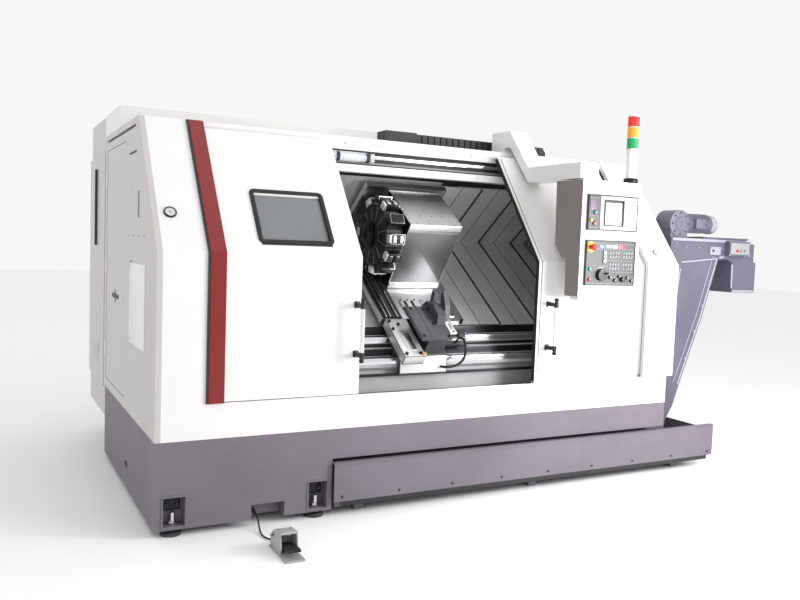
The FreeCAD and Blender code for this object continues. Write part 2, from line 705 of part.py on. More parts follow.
def build_way_covers():
    """Four telescoping sheets right of the saddle, one fixed sheet left of it."""
    for index in range(4):
        start = saddle_right - COVER_OVERLAP + index * s.cover_pitch
        end = s.bed_right - 5 if index == 3 else start + s.cover_length
        sheet = slope_prism(f"cover_sheet_{index + 1}", start, end - start,
                            [valley(index * s.cover_step, s.cover_sheet)])
        keep(sheet, f"way_cover_{index + 1}")
    left = slope_prism("cover_sheet_left", s.bed_left + 2, saddle_right - s.bed_left,
                       [valley(4 * s.cover_step, s.cover_sheet)])
    keep(left, "way_cover_left")


def build_saddle():
    """Carriage: a bent slab that fills the covers' valley and carries the cross slide."""
    lift = 5
    slab = slope_prism("saddle_slab_bent", s.saddle_left, s.saddle_length,
                       [valley(-(s.saddle_slab + lift), s.saddle_slab, 15)])
    keep(slab, "saddle")


def build_turret():
    """Turret housing on the cross slide, the twelve-sided disc and its tool holders."""
    low = s.saddle_slab + 5 + 1
    housing = slope_box("housing_block", s.housing_left, s.housing_left + s.housing_length,
                        (s.housing_front, low), (s.housing_back, s.housing_top))
    y, z = on_slope(s.turret_u, s.turret_w)
    neck = rod("turret_neck", "X", (s.housing_left - 10, y, z), 80, 20)
    keep(fuse("housing_fused", [housing, neck]), "turret_housing")
    disc_left = s.housing_left - 10.5 - s.turret_thickness
    count = s.turret_stations
    sides = int(number(count))
    corners = []
    for index in range(sides):
        angle = 360 * (index + 0.5) / count
        corners.append((s.turret_radius * cosine(angle), s.turret_radius * sine(angle)))
    disc = prism("turret_plate", "X", 0, s.turret_thickness, [corners], (), (disc_left, y, z),
                 s.slope_angle)
    hub = rod("turret_hub", "X", (disc_left - 26, y, z), 92, 40)
    keep(fuse("turret_fused", [disc, hub]), "turret_disc")
    flat = s.turret_radius * cosine(180 / count)
    holders = []
    for index in range(sides):
        holder = document.addObject("Part::Box", f"holder_{index + 1}")
        bind(holder, "Length", s.turret_thickness - 24)
        bind(holder, "Width", 62)
        bind(holder, "Height", s.holder_reach)
        angle = s.slope_angle + 360 * index / count
        across = 31
        start_y = y + across * cosine(angle) * -1 - flat * sine(angle)
        start_z = z - across * sine(angle) + flat * cosine(angle)
        place(holder, (disc_left + 12, start_y, start_z), (1, 0, 0), angle)
        holders.append(holder)
    group = document.addObject("Part::Compound", "holder_group")
    group.Links = holders
    keep(group, "tool_holders")


# ---------------------------------------------------------------- steady rest and tailstock
def rail_foot(rise):
    """Outline of a foot that straddles both front ways and stays clear of them."""
    gap = s.slide_gap
    return [(160, 740), (195 - gap, 740), (195 - gap, s.rail_low + gap),
            (270 - gap, s.rail_low + gap), (270 - gap, s.rail_high - 65 + gap),
            (300 - gap, s.rail_high - 65 + gap), (300 - gap, s.rail_high + gap),
            (376, s.rail_high + gap), (376, s.rail_high + rise), (160, s.rail_high + rise)]


def build_steady_rest():
    """Steady rest: clamp foot, arm carrier with its hydraulic cylinder, and two arms."""
    gap = s.slide_gap
    steps = [(160, 760), (195 - gap, 760), (195 - gap, s.rail_low + gap),
             (270 - gap, s.rail_low + gap), (270 - gap, s.rail_high - 65 + gap),
             (300 - gap, s.rail_high - 65 + gap), (300 - gap, s.rail_high + gap),
             (376, s.rail_high + gap), (376, s.rail_high + 38), (352, s.rail_high + 44),
             (160, s.rail_low + 23)]
    foot = prism("steady_foot", "X", s.steady_left, s.steady_length, [steps])
    block = slope_box("steady_block", s.steady_left - 15, s.steady_left + 130,
                      (-355, 8), (-15, 70))
    carrier_left = s.steady_left + 190
    body = slope_box("steady_body", carrier_left - 15, carrier_left + 120,
                     (-262, 8), (-12, 142))
    shield = slope_box("steady_shield", carrier_left - 95, carrier_left + 119,
                       (-296, 140), (5, 156))
    post = prism("steady_post", "X", carrier_left + 60, 60,
                 [[(165, 1040), (366, 1000), (368, 1100), (352, 1170), (300, 1195),
                   (215, 1180), (150, 1120)]])
    carrier = fuse("steady_carrier", [block, body, shield, post])
    cylinder = rod("steady_cylinder", "X", (s.steady_left + s.steady_length - 20, 228, 952),
                   56, 165)
    fitting = rod("steady_fitting", "Y", (HOSE_ROUTE[0][0], HOSE_ROUTE[0][1], 975), 12, 30)
    keep(fuse("steady_fused", [foot, carrier, cylinder, fitting]), "steady_rest_body")
    arm_left = carrier_left + 122
    for label, points in (("steady_arm_front", [(168, 1085), (205, 1075), (225, 1160),
                                                (235, 1245), (205, 1268), (172, 1180)]),
                          ("steady_arm_rear", [(332, 1085), (366, 1090), (368, 1180),
                                               (336, 1268), (308, 1245), (330, 1160)])):
        arm = prism(f"{label}_plate", "X", arm_left, 34, [points])
        keep(arm, label)


def build_tailstock():
    """Tailstock body on the front ways, its quill and the live centre."""
    foot = prism("tail_foot", "X", s.tail_left, s.tail_length, [rail_foot(60)])
    body = prism("tail_body", "X", s.tail_left, s.tail_length,
                 [[(160, 1031), (376, 1031), (376, 1100), (405, 1150), (400, 1440), (330, 1490),
                   (230, 1490), (190, 1440), (160, 1150)]],
                 [((s.axis_y, s.axis_z), s.quill_radius + s.running_gap)])
    keep(fuse("tail_fused", [foot, body]), "tailstock_body")
    reach = 120
    radius = s.quill_radius
    quill = turned("quill_turned", [(26, 0), (radius, 0), (radius, s.tail_length + reach - 40),
                                    (0, s.tail_length + reach - 40), (0, 90), (26, 90)],
                   (s.tail_left - reach, s.axis_y, s.axis_z), (0, 1, 0), 90)
    keep(quill, "tailstock_quill")
    centre = turned("centre_turned", [(0, 0), (24, 42), (38, 42), (38, 72),
                                      (26 - s.running_gap, 72.5), (26 - s.running_gap, 150),
                                      (0, 150)],
                    (s.tail_left - reach - 73, s.axis_y, s.axis_z), (0, 1, 0), 90)
    keep(centre, "live_centre")


# ---------------------------------------------------------------- pendant, arm and tower
def build_arm():
    """Bent box arm from the roof over the sliding door to the pendant."""
    bottom = s.arm_bottom
    outline = [(800, s.roof_height + 155), (584, s.roof_height + 153), (357, bottom + 96),
               (-181, bottom + 98), (-185, bottom), (350, bottom), (574, s.roof_height + 40),
               (640, s.roof_height + 40), (640, s.roof_height), (800, s.roof_height)]
    arm = prism("arm_tube", "X", s.pendant_left, s.arm_width, [outline])
    keep(arm, "overhead_arm")


def build_pendant():
    """Operator pendant: cabinet with a stepped back, swivel boss and two panel frames."""
    front = -s.pendant_front
    outline = [(front, s.pendant_bottom), (front, s.pendant_top), (43, s.pendant_top),
               (31, 1576), (-39, 1489), (-80, 1485), (-84, s.pendant_bottom)]
    cabinet = prism("pendant_cabinet", "X", s.pendant_left, s.pendant_width, [outline])
    boss = rod("pendant_boss", "Z", (s.pendant_left + 72, -110, s.pendant_top - 5), 46,
               s.arm_bottom - s.pendant_top + 5)
    foot = box("pendant_foot", (s.pendant_left + 30, front + 30, s.pendant_bottom - 22),
               (s.pendant_left + 190, -100, s.pendant_bottom))
    keep(fuse("pendant_fused", [cabinet, boss, foot]), "pendant_body")
    panel_left = s.pendant_left + 38
    panel_right = s.pendant_left + s.pendant_width - 38
    control = box("control_unit", (panel_left, front - s.panel_proud, 1675),
                  (panel_right, front, 1897))
    keys = box("key_panel", (panel_left, front - s.panel_proud, 1332),
               (panel_right, front, 1617))
    face = front - s.panel_proud
    wells = [rod("button_well", "Y", (s.pendant_left + right, face - 1, height), 12, 9)
             for right, height in ((74, 1572), (186, 1539), (186, 1487))]
    group = document.addObject("Part::Compound", "panel_pair")
    group.Links = [control, cut("key_panel_wells", keys, wells)]
    keep(group, "operator_panel")
    knob_places = (("e_stop", 74, 1572, [(0, 0), (11, 0), (11, 18), (20, 20), (21, 32),
                                         (15, BUTTON_REACH - 4), (0, BUTTON_REACH)]),
                   ("handwheel", 162, 1400, [(0, 0), (12, 0), (12, 12), (36, 12), (38, 18),
                                             (36, 26), (0, 28)]),
                   ("feed_knob", 340, 1374, [(0, 0), (17, 0), (15, 20), (0, 22)]),
                   ("start_button", 186, 1539, [(0, 0), (11, 0), (11, 9), (0, 11)]),
                   ("hold_button", 186, 1487, [(0, 0), (11, 0), (11, 9), (0, 11)]))
    for label, right, height, outline in knob_places:
        knob = turned(f"{label}_turned", outline,
                      (s.pendant_left + right, face - BUTTON_GAP, height), (1, 0, 0), 90)
        keep(knob, label)


def build_tower():
    """Three-lamp signal tower standing on the pendant."""
    x = s.pendant_left + s.pendant_width - 38
    y = -150
    r = s.tower_radius
    base = s.pendant_top
    outline = [(0, 0), (r + 6, 0), (r + 6, 36), (r - 4, 40), (r - 4, 48), (r, 52), (r, 218),
               (r - 2, 221), (r, 224), (r, 288), (r - 2, 291), (r, 294), (r, 358),
               (r - 2, 361), (r, 364), (r, 430), (r - 8, 440), (0, 440)]
    keep(turned("tower_turned", outline, (x, y, base)), "signal_tower")


# ---------------------------------------------------------------- pipes and foot pedal
def rounded_path(points):
    """Straight runs joined by tangent arcs, each arc as large as its two runs allow."""
    spots = [Vector(*[number(value) for value in point]) for point in points]
    edges = []
    start = spots[0]
    radii = []
    length = 0.0
    for before, corner, after in zip(spots, spots[1:], spots[2:]):
        back = (before - corner).normalize()
        ahead = (after - corner).normalize()
        half_turn = (math.pi - back.getAngle(ahead)) / 2
        reach = 0.45 * min((before - corner).Length, (after - corner).Length)
        radius = reach / math.tan(half_turn)
        inward = (back + ahead).normalize()
        enter = corner + back * reach
        leave = corner + ahead * reach
        middle = corner + inward * (radius / math.cos(half_turn) - radius)
        edges.append(Part.LineSegment(start, enter).toShape())
        edges.append(Part.Arc(enter, middle, leave).toShape())
        length += (enter - start).Length + radius * 2 * half_turn
        radii.append(radius)
        start = leave
    edges.append(Part.LineSegment(start, spots[-1]).toShape())
    length += (spots[-1] - start).Length
    return Part.Wire(edges), radii, length


def tube(label, points, diameter):
    """A round pipe along a route, checked against its section times its length."""
    path, radii, length = rounded_path(points)
    first = path.Edges[0]
    ring = Part.Circle(first.valueAt(first.FirstParameter),
                       first.tangentAt(first.FirstParameter), number(diameter) / 2)
    profile = Part.Wire([ring.toShape()])
    solid = path.makePipeShell([profile], True, True)
    expected = math.pi * (number(diameter) / 2) ** 2 * length
    print(f"{label}: length {length:.1f}, radii", " ".join(f"{r:.0f}" for r in radii),
          f"volume / expected {solid.Volume / expected:.4f}")
    item = document.addObject("Part::Feature", label)
    item.Shape = solid
    place(item)
    return item


# Route of the pedal's cable: out of the gland in the base, down to the floor, along it and
# up into the back of the pedal.
CABLE_ROUTE = [(545, 46, 66), (545, 12, 66), (543, -26, 50), (538, -64, 24), (530, -106, 10),
               (526, -154, 6), (534, -200, 6), (550, -236, 9), (562, -262, 16), (565, -292, 22)]

# Hose on the steady rest, from its cylinder down to its foot.
HOSE_ROUTE = [(1900, 168, 975), (1900, 136, 975), (1905, 116, 945), (1908, 112, 895),
              (1893, 108, 845), (1850, 108, 812), (1803, 108, 802), (1760, 122, 800),
              (1760, 160, 800)]


def build_hose():
    hose = tube("steady_hose", HOSE_ROUTE, 16)
    keep(hose, "steady_hose")


def build_pedal():
    """Foot switch on the floor: hooded casting, treadle, its cable and the cable gland."""
    left = s.pedal_x
    right = left + s.pedal_width
    rear = -(s.pedal_front - s.pedal_length)
    front = -s.pedal_front + Size(0, "0")
    plate = box("pedal_plate", (left, front, 0), (right, rear, 10))
    heel = box("pedal_heel", (left + 8, rear - 60, 8), (right - 8, rear, 62))
    cheeks = [prism("pedal_cheek", "X", x, 6,
                    [[(rear - 60, 8), (rear - 150, 8), (rear - 165, 40), (rear - 150, 108),
                      (rear - 60, 100)]]) for x in (left + 4, right - 10)]
    hood = prism("pedal_hood_top", "X", left + 4, s.pedal_width - 8,
                 [[(rear, 50), (rear, 62), (rear - 60, 108), (rear - 152, 116),
                   (rear - 156, 108), (rear - 60, 98), (rear - 12, 58)]])
    keep(fuse("pedal_fused", [plate, heel, hood] + cheeks), "pedal_hood")
    treadle = prism("treadle", "X", left + 16, s.pedal_width - 32,
                    [[(rear - 66, 28), (rear - 66, 36), (rear - 215, 56), (rear - 235, 50),
                      (rear - 235, 43), (rear - 215, 47)]])
    keep(treadle, "pedal_flap")
    keep(tube("pedal_cable", CABLE_ROUTE, s.cable_diameter), "pedal_cable")
    gland_nut = rod("gland_nut", "Y", (545, 50, 66), 11, 18)
    gland_nose = rod("gland_nose", "Y", (545, 46, 66), 8, 5)
    gland_tail = rod("gland_tail", "Y", (545, 68, 66), 14, 22)
    keep(fuse("gland_fused", [gland_nut, gland_nose, gland_tail]), "cable_gland")


# ---------------------------------------------------------------- everything together
def build_everything():
    build_base()
    build_pads()
    build_skirt()
    build_tank()
    build_conveyor()
    build_conveyor_drive()
    build_end_covers()
    build_roof_and_back()
    build_inner_panels()
    build_end_door()
    build_rear_cabinet()
    build_doors()
    build_handle("left_door_handle", left_door_right - 26)
    build_handle("right_door_handle", right_door_left + 86)
    build_lamp()
    build_cable_chain()
    build_bed()
    build_headstock()
    build_spindle()
    build_way_covers()
    build_saddle()
    build_turret()
    build_steady_rest()
    build_tailstock()
    build_arm()
    build_pendant()
    build_tower()
    build_hose()
    build_pedal()


def check_and_write():
    """Recompute, refuse any failed object, then write one file for each sub-part."""
    document.recompute()
    for item in document.Objects:
        if "Invalid" in item.State or "Error" in item.State:
            raise RuntimeError(f"{item.Name} did not build: {item.State}")
    os.makedirs("parts", exist_ok=True)
    for item in sub_parts:
        if item.Shape.isNull() or not item.Shape.isValid():
            raise RuntimeError(f"{item.Label} has no sound shape")
        item.Shape.exportStep(os.path.join("parts", f"{item.Label}.step"))
    print(len(sub_parts), "sub-parts written")


build_everything()
check_and_write()
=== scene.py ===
# %% [markdown]
# # A slant-bed turning lathe
#
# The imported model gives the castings, sheets, slides and joints at their real size. This
# lesson finishes them: paint, brushed steel, rubber, glass, and the many small pieces that
# make a machine look made rather than drawn, such as gaskets, bolts, wipers and keys.
# We start with the frame, because every later place is measured from it.

import math

import bpy
import numpy as np
from mathutils import Matrix, Vector


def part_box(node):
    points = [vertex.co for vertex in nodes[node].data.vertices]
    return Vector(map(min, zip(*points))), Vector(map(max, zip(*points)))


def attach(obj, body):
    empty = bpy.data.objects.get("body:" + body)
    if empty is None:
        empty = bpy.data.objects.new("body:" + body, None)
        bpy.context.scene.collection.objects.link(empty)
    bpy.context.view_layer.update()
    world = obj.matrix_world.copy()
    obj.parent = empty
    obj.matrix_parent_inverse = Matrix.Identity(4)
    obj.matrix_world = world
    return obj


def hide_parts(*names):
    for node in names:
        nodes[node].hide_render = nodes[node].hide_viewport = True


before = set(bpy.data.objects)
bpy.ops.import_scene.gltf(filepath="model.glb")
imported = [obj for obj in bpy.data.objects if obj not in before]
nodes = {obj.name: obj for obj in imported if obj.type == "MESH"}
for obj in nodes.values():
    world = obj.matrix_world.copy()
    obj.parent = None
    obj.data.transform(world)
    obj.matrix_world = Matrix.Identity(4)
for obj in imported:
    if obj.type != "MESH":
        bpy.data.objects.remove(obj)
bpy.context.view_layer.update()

# %% [markdown]
# Machine places are easiest to think of from the front left corner of the base: X along the
# spindle, Y away from the operator, Z up. The helper below turns such a place into the
# frame's own coordinates, whose origin is the middle of the footprint.

# %% Machine coordinates and the leaning front
base_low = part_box("bed_base")[0]
CORNER = np.array([base_low.x, base_low.y, 0.0])
LEAN = math.radians(36.96)
KNEE = 1.467
SLOPE = math.radians(35.6)
SLOPE_FOOT = (0.395, 1.031)


def at(x, y, z):
    """Frame place of a point in machine coordinates: the corner plus the point."""
    return CORNER + np.array([x, y, z])


def machine_box(node):
    """Lowest and highest corner of a node in machine coordinates."""
    low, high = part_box(node)
    return np.array(low) - CORNER, np.array(high) - CORNER


def on_lean(x, height, proud=0.0):
    """Point on the leaning front at a height: Y grows by tan(lean) for each unit of Z,
    then the point steps out along the face's normal by proud."""
    y = (height - KNEE) * math.tan(LEAN)
    return at(x, y - proud * math.cos(LEAN), height + proud * math.sin(LEAN))


def on_slope(x, u, w):
    """Point u up the bed's slope and w off it: foot + u*(cos, sin) + w*(-sin, cos)."""
    y = SLOPE_FOOT[0] + u * math.cos(SLOPE) - w * math.sin(SLOPE)
    z = SLOPE_FOOT[1] + u * math.sin(SLOPE) + w * math.cos(SLOPE)
    return at(x, y, z)


print("base corner", CORNER.round(4))

# %% [markdown]
# ## Camera
#
# The camera stands at eye height in front of the machine's left end and looks a little down
# and to the right. Its axes come from three angles: yaw from the machine's depth axis, pitch
# below the horizon, and a small roll.

# %% Camera
EYE = at(-0.8092, -4.1078, 1.55)
YAW, PITCH, ROLL = (math.radians(value) for value in (27.9606, -3.9953, 2.0622))
SENSOR = 36.0
FOCAL_IN_WIDTHS = 1.010224

ahead = Vector((math.sin(YAW) * math.cos(PITCH), math.cos(YAW) * math.cos(PITCH),
                math.sin(PITCH)))
level_right = Vector((math.cos(YAW), -math.sin(YAW), 0.0))
level_up = level_right.cross(ahead)
right = math.cos(ROLL) * level_right + math.sin(ROLL) * level_up
upward = -math.sin(ROLL) * level_right + math.cos(ROLL) * level_up
camera_data = bpy.data.cameras.new("camera")
camera_data.sensor_width = SENSOR
camera_data.lens = SENSOR * FOCAL_IN_WIDTHS
camera_data.clip_end = 100
camera = bpy.data.objects.new("camera", camera_data)
bpy.context.scene.collection.objects.link(camera)
camera.matrix_world = Matrix((
    (right.x, upward.x, -ahead.x, EYE[0]),
    (right.y, upward.y, -ahead.y, EYE[1]),
    (right.z, upward.z, -ahead.z, EYE[2]),
    (0, 0, 0, 1)))
bpy.context.scene.camera = camera
print("lens", round(camera_data.lens, 2), "mm")

# %% [markdown]
# ## Floor and light
#
# A machine this white needs soft, even light: a broad lamp from the front right so that the
# front glows and the left end falls a little into shade, a weak one from the left, one
# overhead, a small one that reaches into the work area, and a bright plain surround. The
# floor is pale and ends in the same tone as the surround.

# %% Stage and lamps
FLOOR_SIZE = 60.0
LAMPS = (
    ("key", (3.6, -6.2, 4.6), (0.2, 0.0, 1.2), 5.0, 165),
    ("fill", (-7.0, -4.0, 3.2), (-1.5, 0.0, 1.0), 4.0, 4),
    ("overhead", (0.0, -0.8, 6.5), (0.0, 0.3, 0.0), 5.0, 26),
    ("work_area", (1.3, -3.0, 1.5), (0.1, 0.0, 1.4), 1.2, 75),
)


def plain_material(name, colour, roughness):
    """A material with nothing but its own colour and roughness, for the stage."""
    material = bpy.data.materials.new(name)
    material.use_nodes = True
    shader = material.node_tree.nodes["Principled BSDF"]
    shader.inputs["Base Color"].default_value = (*colour, 1)
    shader.inputs["Roughness"].default_value = roughness
    return material


def add_lamp(name, place, target, size, power):
    """A round area lamp that shines from a place towards a target."""
    data = bpy.data.lights.new(name, "AREA")
    data.shape = "DISK"
    data.size = size
    data.energy = power
    lamp = bpy.data.objects.new(name, data)
    bpy.context.scene.collection.objects.link(lamp)
    direction = Vector(target) - Vector(place)
    lamp.matrix_world = (Matrix.Translation(place)
                         @ direction.to_track_quat("-Z", "Y").to_matrix().to_4x4())


floor_mesh = bpy.data.meshes.new("floor")
half = FLOOR_SIZE / 2
floor_mesh.from_pydata([(-half, -half, 0), (half, -half, 0), (half, half, 0), (-half, half, 0)],
                       [], [(0, 1, 2, 3)])
floor = bpy.data.objects.new("floor", floor_mesh)
floor_mesh.materials.append(plain_material("floor_paint", (0.92, 0.92, 0.92), 0.9))
bpy.context.scene.collection.objects.link(floor)
for lamp_row in LAMPS:
    add_lamp(*lamp_row)
world = bpy.data.worlds.new("surround")
world.use_nodes = True
world.node_tree.nodes["Background"].inputs["Color"].default_value = (1, 1, 1, 1)
world.node_tree.nodes["Background"].inputs["Strength"].default_value = 0.93
bpy.context.scene.world = world
bpy.context.scene.view_settings.view_transform = "Standard"
print(len(LAMPS), "lamps")

# %% [markdown]
# ## Node materials
#
# Every finish below is a small node tree that reads the piece's own Object coordinates, so a
# pattern keeps its scale in metres and stays put when the piece moves. One builder, `finish`,
# covers most of them: a base colour that wanders slightly with a broad noise, a roughness
# that wanders with a finer one, and a bump. Stretching the noise along one axis turns the
# same tree into brushed or ground metal.

# %% Material builder
def ramp_between(tree, factor, low, high, start=0.35, end=0.65):
    """A colour ramp from one colour to another between two noise values."""
    ramp = tree.nodes.new("ShaderNodeValToRGB")
    ramp.color_ramp.elements[0].position = start
    ramp.color_ramp.elements[1].position = end
    ramp.color_ramp.elements[0].color = (*low, 1)
    ramp.color_ramp.elements[1].color = (*high, 1)
    tree.links.new(factor, ramp.inputs["Fac"])
    return ramp.outputs["Color"]


def noise(tree, vector, scale, detail):
    """Noise over a vector: scale is how many blotches there are to a metre."""
    node = tree.nodes.new("ShaderNodeTexNoise")
    node.inputs["Scale"].default_value = scale
    node.inputs["Detail"].default_value = detail
    tree.links.new(vector, node.inputs["Vector"])
    return node.outputs["Fac"]


def stretched(tree, stretch):
    """Object coordinates, multiplied along each axis by stretch."""
    source = tree.nodes.new("ShaderNodeTexCoord")
    mapping = tree.nodes.new("ShaderNodeMapping")
    mapping.inputs["Scale"].default_value = stretch
    tree.links.new(source.outputs["Object"], mapping.inputs["Vector"])
    return mapping.outputs["Vector"]


def shade(colour, amount):
    """The same colour, lighter or darker by a factor."""
    return tuple(min(1.0, channel * amount) for channel in colour)


def finish(name, colour, roughness, metallic=0.0, grain=(1, 1, 1), grain_scale=60.0, bump=0.1,
           bump_depth=0.0004, wander=0.06, blotch=3.0, rough_wander=0.12, coat=0.0):
    """One finish: colour wanders by wander on a broad noise, roughness by rough_wander on
    the grain noise, and the grain noise lifts the surface by bump."""
    material = bpy.data.materials.new(name)
    material.use_nodes = True
    tree = material.node_tree
    shader = tree.nodes["Principled BSDF"]
    broad = noise(tree, stretched(tree, (1, 1, 1)), blotch, 4.0)
    fine = noise(tree, stretched(tree, grain), grain_scale, 5.0)
    tint = ramp_between(tree, broad, shade(colour, 1 - wander), shade(colour, 1 + wander))
    tree.links.new(tint, shader.inputs["Base Color"])
    spread = tree.nodes.new("ShaderNodeMapRange")
    spread.inputs["To Min"].default_value = max(0.02, roughness - rough_wander)
    spread.inputs["To Max"].default_value = min(1.0, roughness + rough_wander)
    tree.links.new(fine, spread.inputs["Value"])
    tree.links.new(spread.outputs["Result"], shader.inputs["Roughness"])
    lift = tree.nodes.new("ShaderNodeBump")
    lift.inputs["Strength"].default_value = bump
    lift.inputs["Distance"].default_value = bump_depth
    tree.links.new(fine, lift.inputs["Height"])
    tree.links.new(lift.outputs["Normal"], shader.inputs["Normal"])
    shader.inputs["Metallic"].default_value = metallic
    shader.inputs["Coat Weight"].default_value = coat
    shader.inputs["Coat Roughness"].default_value = 0.12
    return material


# %% [markdown]
# The enclosure's paint is a warm white with the faint orange peel that a spray gun leaves.
# The base is violet-grey and rougher, and its colour wanders more, as dust and coolant mist
# leave it. One tree with other numbers is enough, so no second tree has to be kept in step.

# %% Paints
white = finish("enclosure_white", (0.76, 0.75, 0.735), 0.36, bump=0.12, grain_scale=420,
               wander=0.012, coat=0.25)
# Painted shade: the enclosure's own warm white, darkened, for the left end, the rear cabinet and
# the rear wall, which face away from the key lamp.
painted_shade_white = finish("painted_shade_enclosure_white", (0.50, 0.485, 0.47), 0.42, bump=0.12, grain_scale=420,
                     wander=0.02, coat=0.15)
pendant_grey = finish("pendant_grey", (0.50, 0.49, 0.48), 0.45, bump=0.2, grain_scale=500,
                      wander=0.02)
base_violet = finish("base_violet_grey", (0.150, 0.132, 0.158), 0.52, bump=0.35,
                     grain_scale=240, wander=0.07, rough_wander=0.1)
conveyor_violet = finish("conveyor_violet_grey", (0.095, 0.088, 0.125), 0.45, bump=0.3,
                         grain_scale=200, wander=0.12)
motor_violet = finish("motor_violet_grey", (0.125, 0.118, 0.155), 0.42, bump=0.4,
                      grain_scale=260, wander=0.12)
trim_red = finish("trim_red", (0.20, 0.001, 0.002), 0.36, bump=0.1, grain_scale=380,
                  wander=0.05, coat=0.15)
casting_grey = finish("casting_grey", (0.40, 0.41, 0.42), 0.5, bump=0.5, grain_scale=150,
                      bump_depth=0.0009, wander=0.08)
casting_dark = finish("casting_dark", (0.060, 0.060, 0.068), 0.42, bump=0.5, grain_scale=170,
                      bump_depth=0.0009, wander=0.15)
pedal_grey = finish("pedal_grey", (0.34, 0.34, 0.33), 0.5, bump=0.6, grain_scale=900,
                    wander=0.08)
print("painted finishes made")

# %% [markdown]
# Bare steel is the same tree with its noise drawn out along the direction of the tool marks.
# The way covers are rolled sheet, brushed along X, so their noise is stretched that way;
# the chuck is turned, and the jaws and holders are ground.

# %% Bare metals
cover_steel = finish("cover_steel", (0.80, 0.80, 0.81), 0.36, 0.55, (0.6, 26, 26), 30, 0.25,
                     0.0003, 0.10, 2.2, 0.1)
housing_steel = finish("housing_steel", (0.60, 0.60, 0.61), 0.30, 1.0, (0.8, 22, 22), 34, 0.2,
                       0.0003, 0.12, 1.6, 0.1)
turned_steel = finish("turned_steel", (0.56, 0.56, 0.57), 0.26, 1.0, (20, 4, 4), 40, 0.22,
                      0.0003, 0.08, 5.0, 0.08)
ground_steel = finish("ground_steel", (0.64, 0.64, 0.66), 0.22, 1.0, (4, 30, 4), 40, 0.2,
                      0.0002, 0.08, 8.0, 0.08)
guideway_steel = finish("guideway_steel", (0.72, 0.73, 0.75), 0.17, 1.0, (0.5, 40, 40), 40,
                        0.12, 0.0002, 0.05, 2.0, 0.06)
black_oxide = finish("black_oxide", (0.018, 0.018, 0.021), 0.38, 0.6, (6, 6, 6), 30, 0.3,
                     0.0004, 0.25, 9.0)
dark_iron = finish("dark_iron", (0.05, 0.05, 0.052), 0.55, 0.3, (1, 1, 1), 220, 0.6,
                   0.0006, 0.2, 8.0)
print("bare metal finishes made")

# %% [markdown]
# Plastics and rubber are dark and mostly differ in how they throw light back: mouldings have
# a fine grain, rubber is duller, and button caps are glossy.

# %% Plastics and rubber
black_plastic = finish("black_plastic", (0.016, 0.016, 0.018), 0.5, bump=0.5, grain_scale=900,
                       wander=0.15)
rubber = finish("rubber", (0.012, 0.012, 0.012), 0.72, bump=0.5, grain_scale=500, wander=0.2)
panel_black = finish("panel_black", (0.022, 0.022, 0.026), 0.42, bump=0.3, grain_scale=1200,
                     wander=0.1)
unit_grey = finish("unit_grey", (0.46, 0.47, 0.46), 0.48, bump=0.4, grain_scale=1100,
                   wander=0.03)
key_white = finish("key_white", (0.62, 0.62, 0.60), 0.4, bump=0.2, grain_scale=900)
key_grey = finish("key_grey", (0.24, 0.24, 0.25), 0.42, bump=0.2, grain_scale=900)
key_red = finish("key_red", (0.5, 0.03, 0.03), 0.35, bump=0.2, grain_scale=900)
key_blue = finish("key_blue", (0.05, 0.14, 0.42), 0.35, bump=0.2, grain_scale=900)
key_yellow = finish("key_yellow", (0.72, 0.46, 0.03), 0.35, bump=0.2, grain_scale=900)
key_teal = finish("key_teal", (0.02, 0.26, 0.24), 0.35, bump=0.2, grain_scale=900)
stop_red = finish("stop_red", (0.60, 0.010, 0.010), 0.22, bump=0.1, grain_scale=600, coat=0.6)
cable_yellow = finish("cable_yellow", (0.62, 0.50, 0.16), 0.5, bump=0.3, grain_scale=600)


def clear(name, colour, roughness, transmission, glow=0.0):
    """Glass or a lit lens: light passes by transmission, and glow adds its own light."""
    material = finish(name, colour, roughness, bump=0.05, grain_scale=40, wander=0.05,
                      rough_wander=0.03)
    shader = material.node_tree.nodes["Principled BSDF"]
    shader.inputs["Transmission Weight"].default_value = transmission
    shader.inputs["Emission Color"].default_value = (*colour, 1)
    shader.inputs["Emission Strength"].default_value = glow
    return material


window_glass = clear("window_glass", (0.34, 0.36, 0.38), 0.10, 0.55)
lamp_glass = clear("lamp_glass", (0.80, 0.84, 0.88), 0.12, 0.6, 0.15)
lens_red = clear("lens_red", (0.75, 0.03, 0.02), 0.18, 0.25, 0.12)
lens_amber = clear("lens_amber", (0.85, 0.38, 0.04), 0.18, 0.25, 0.12)
lens_green = clear("lens_green", (0.03, 0.36, 0.12), 0.18, 0.25, 0.10)
print(len(bpy.data.materials), "materials so far")

# %% [markdown]
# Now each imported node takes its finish. A list of finish and nodes says who wears what, so
# no node can be forgotten: the last line counts them.

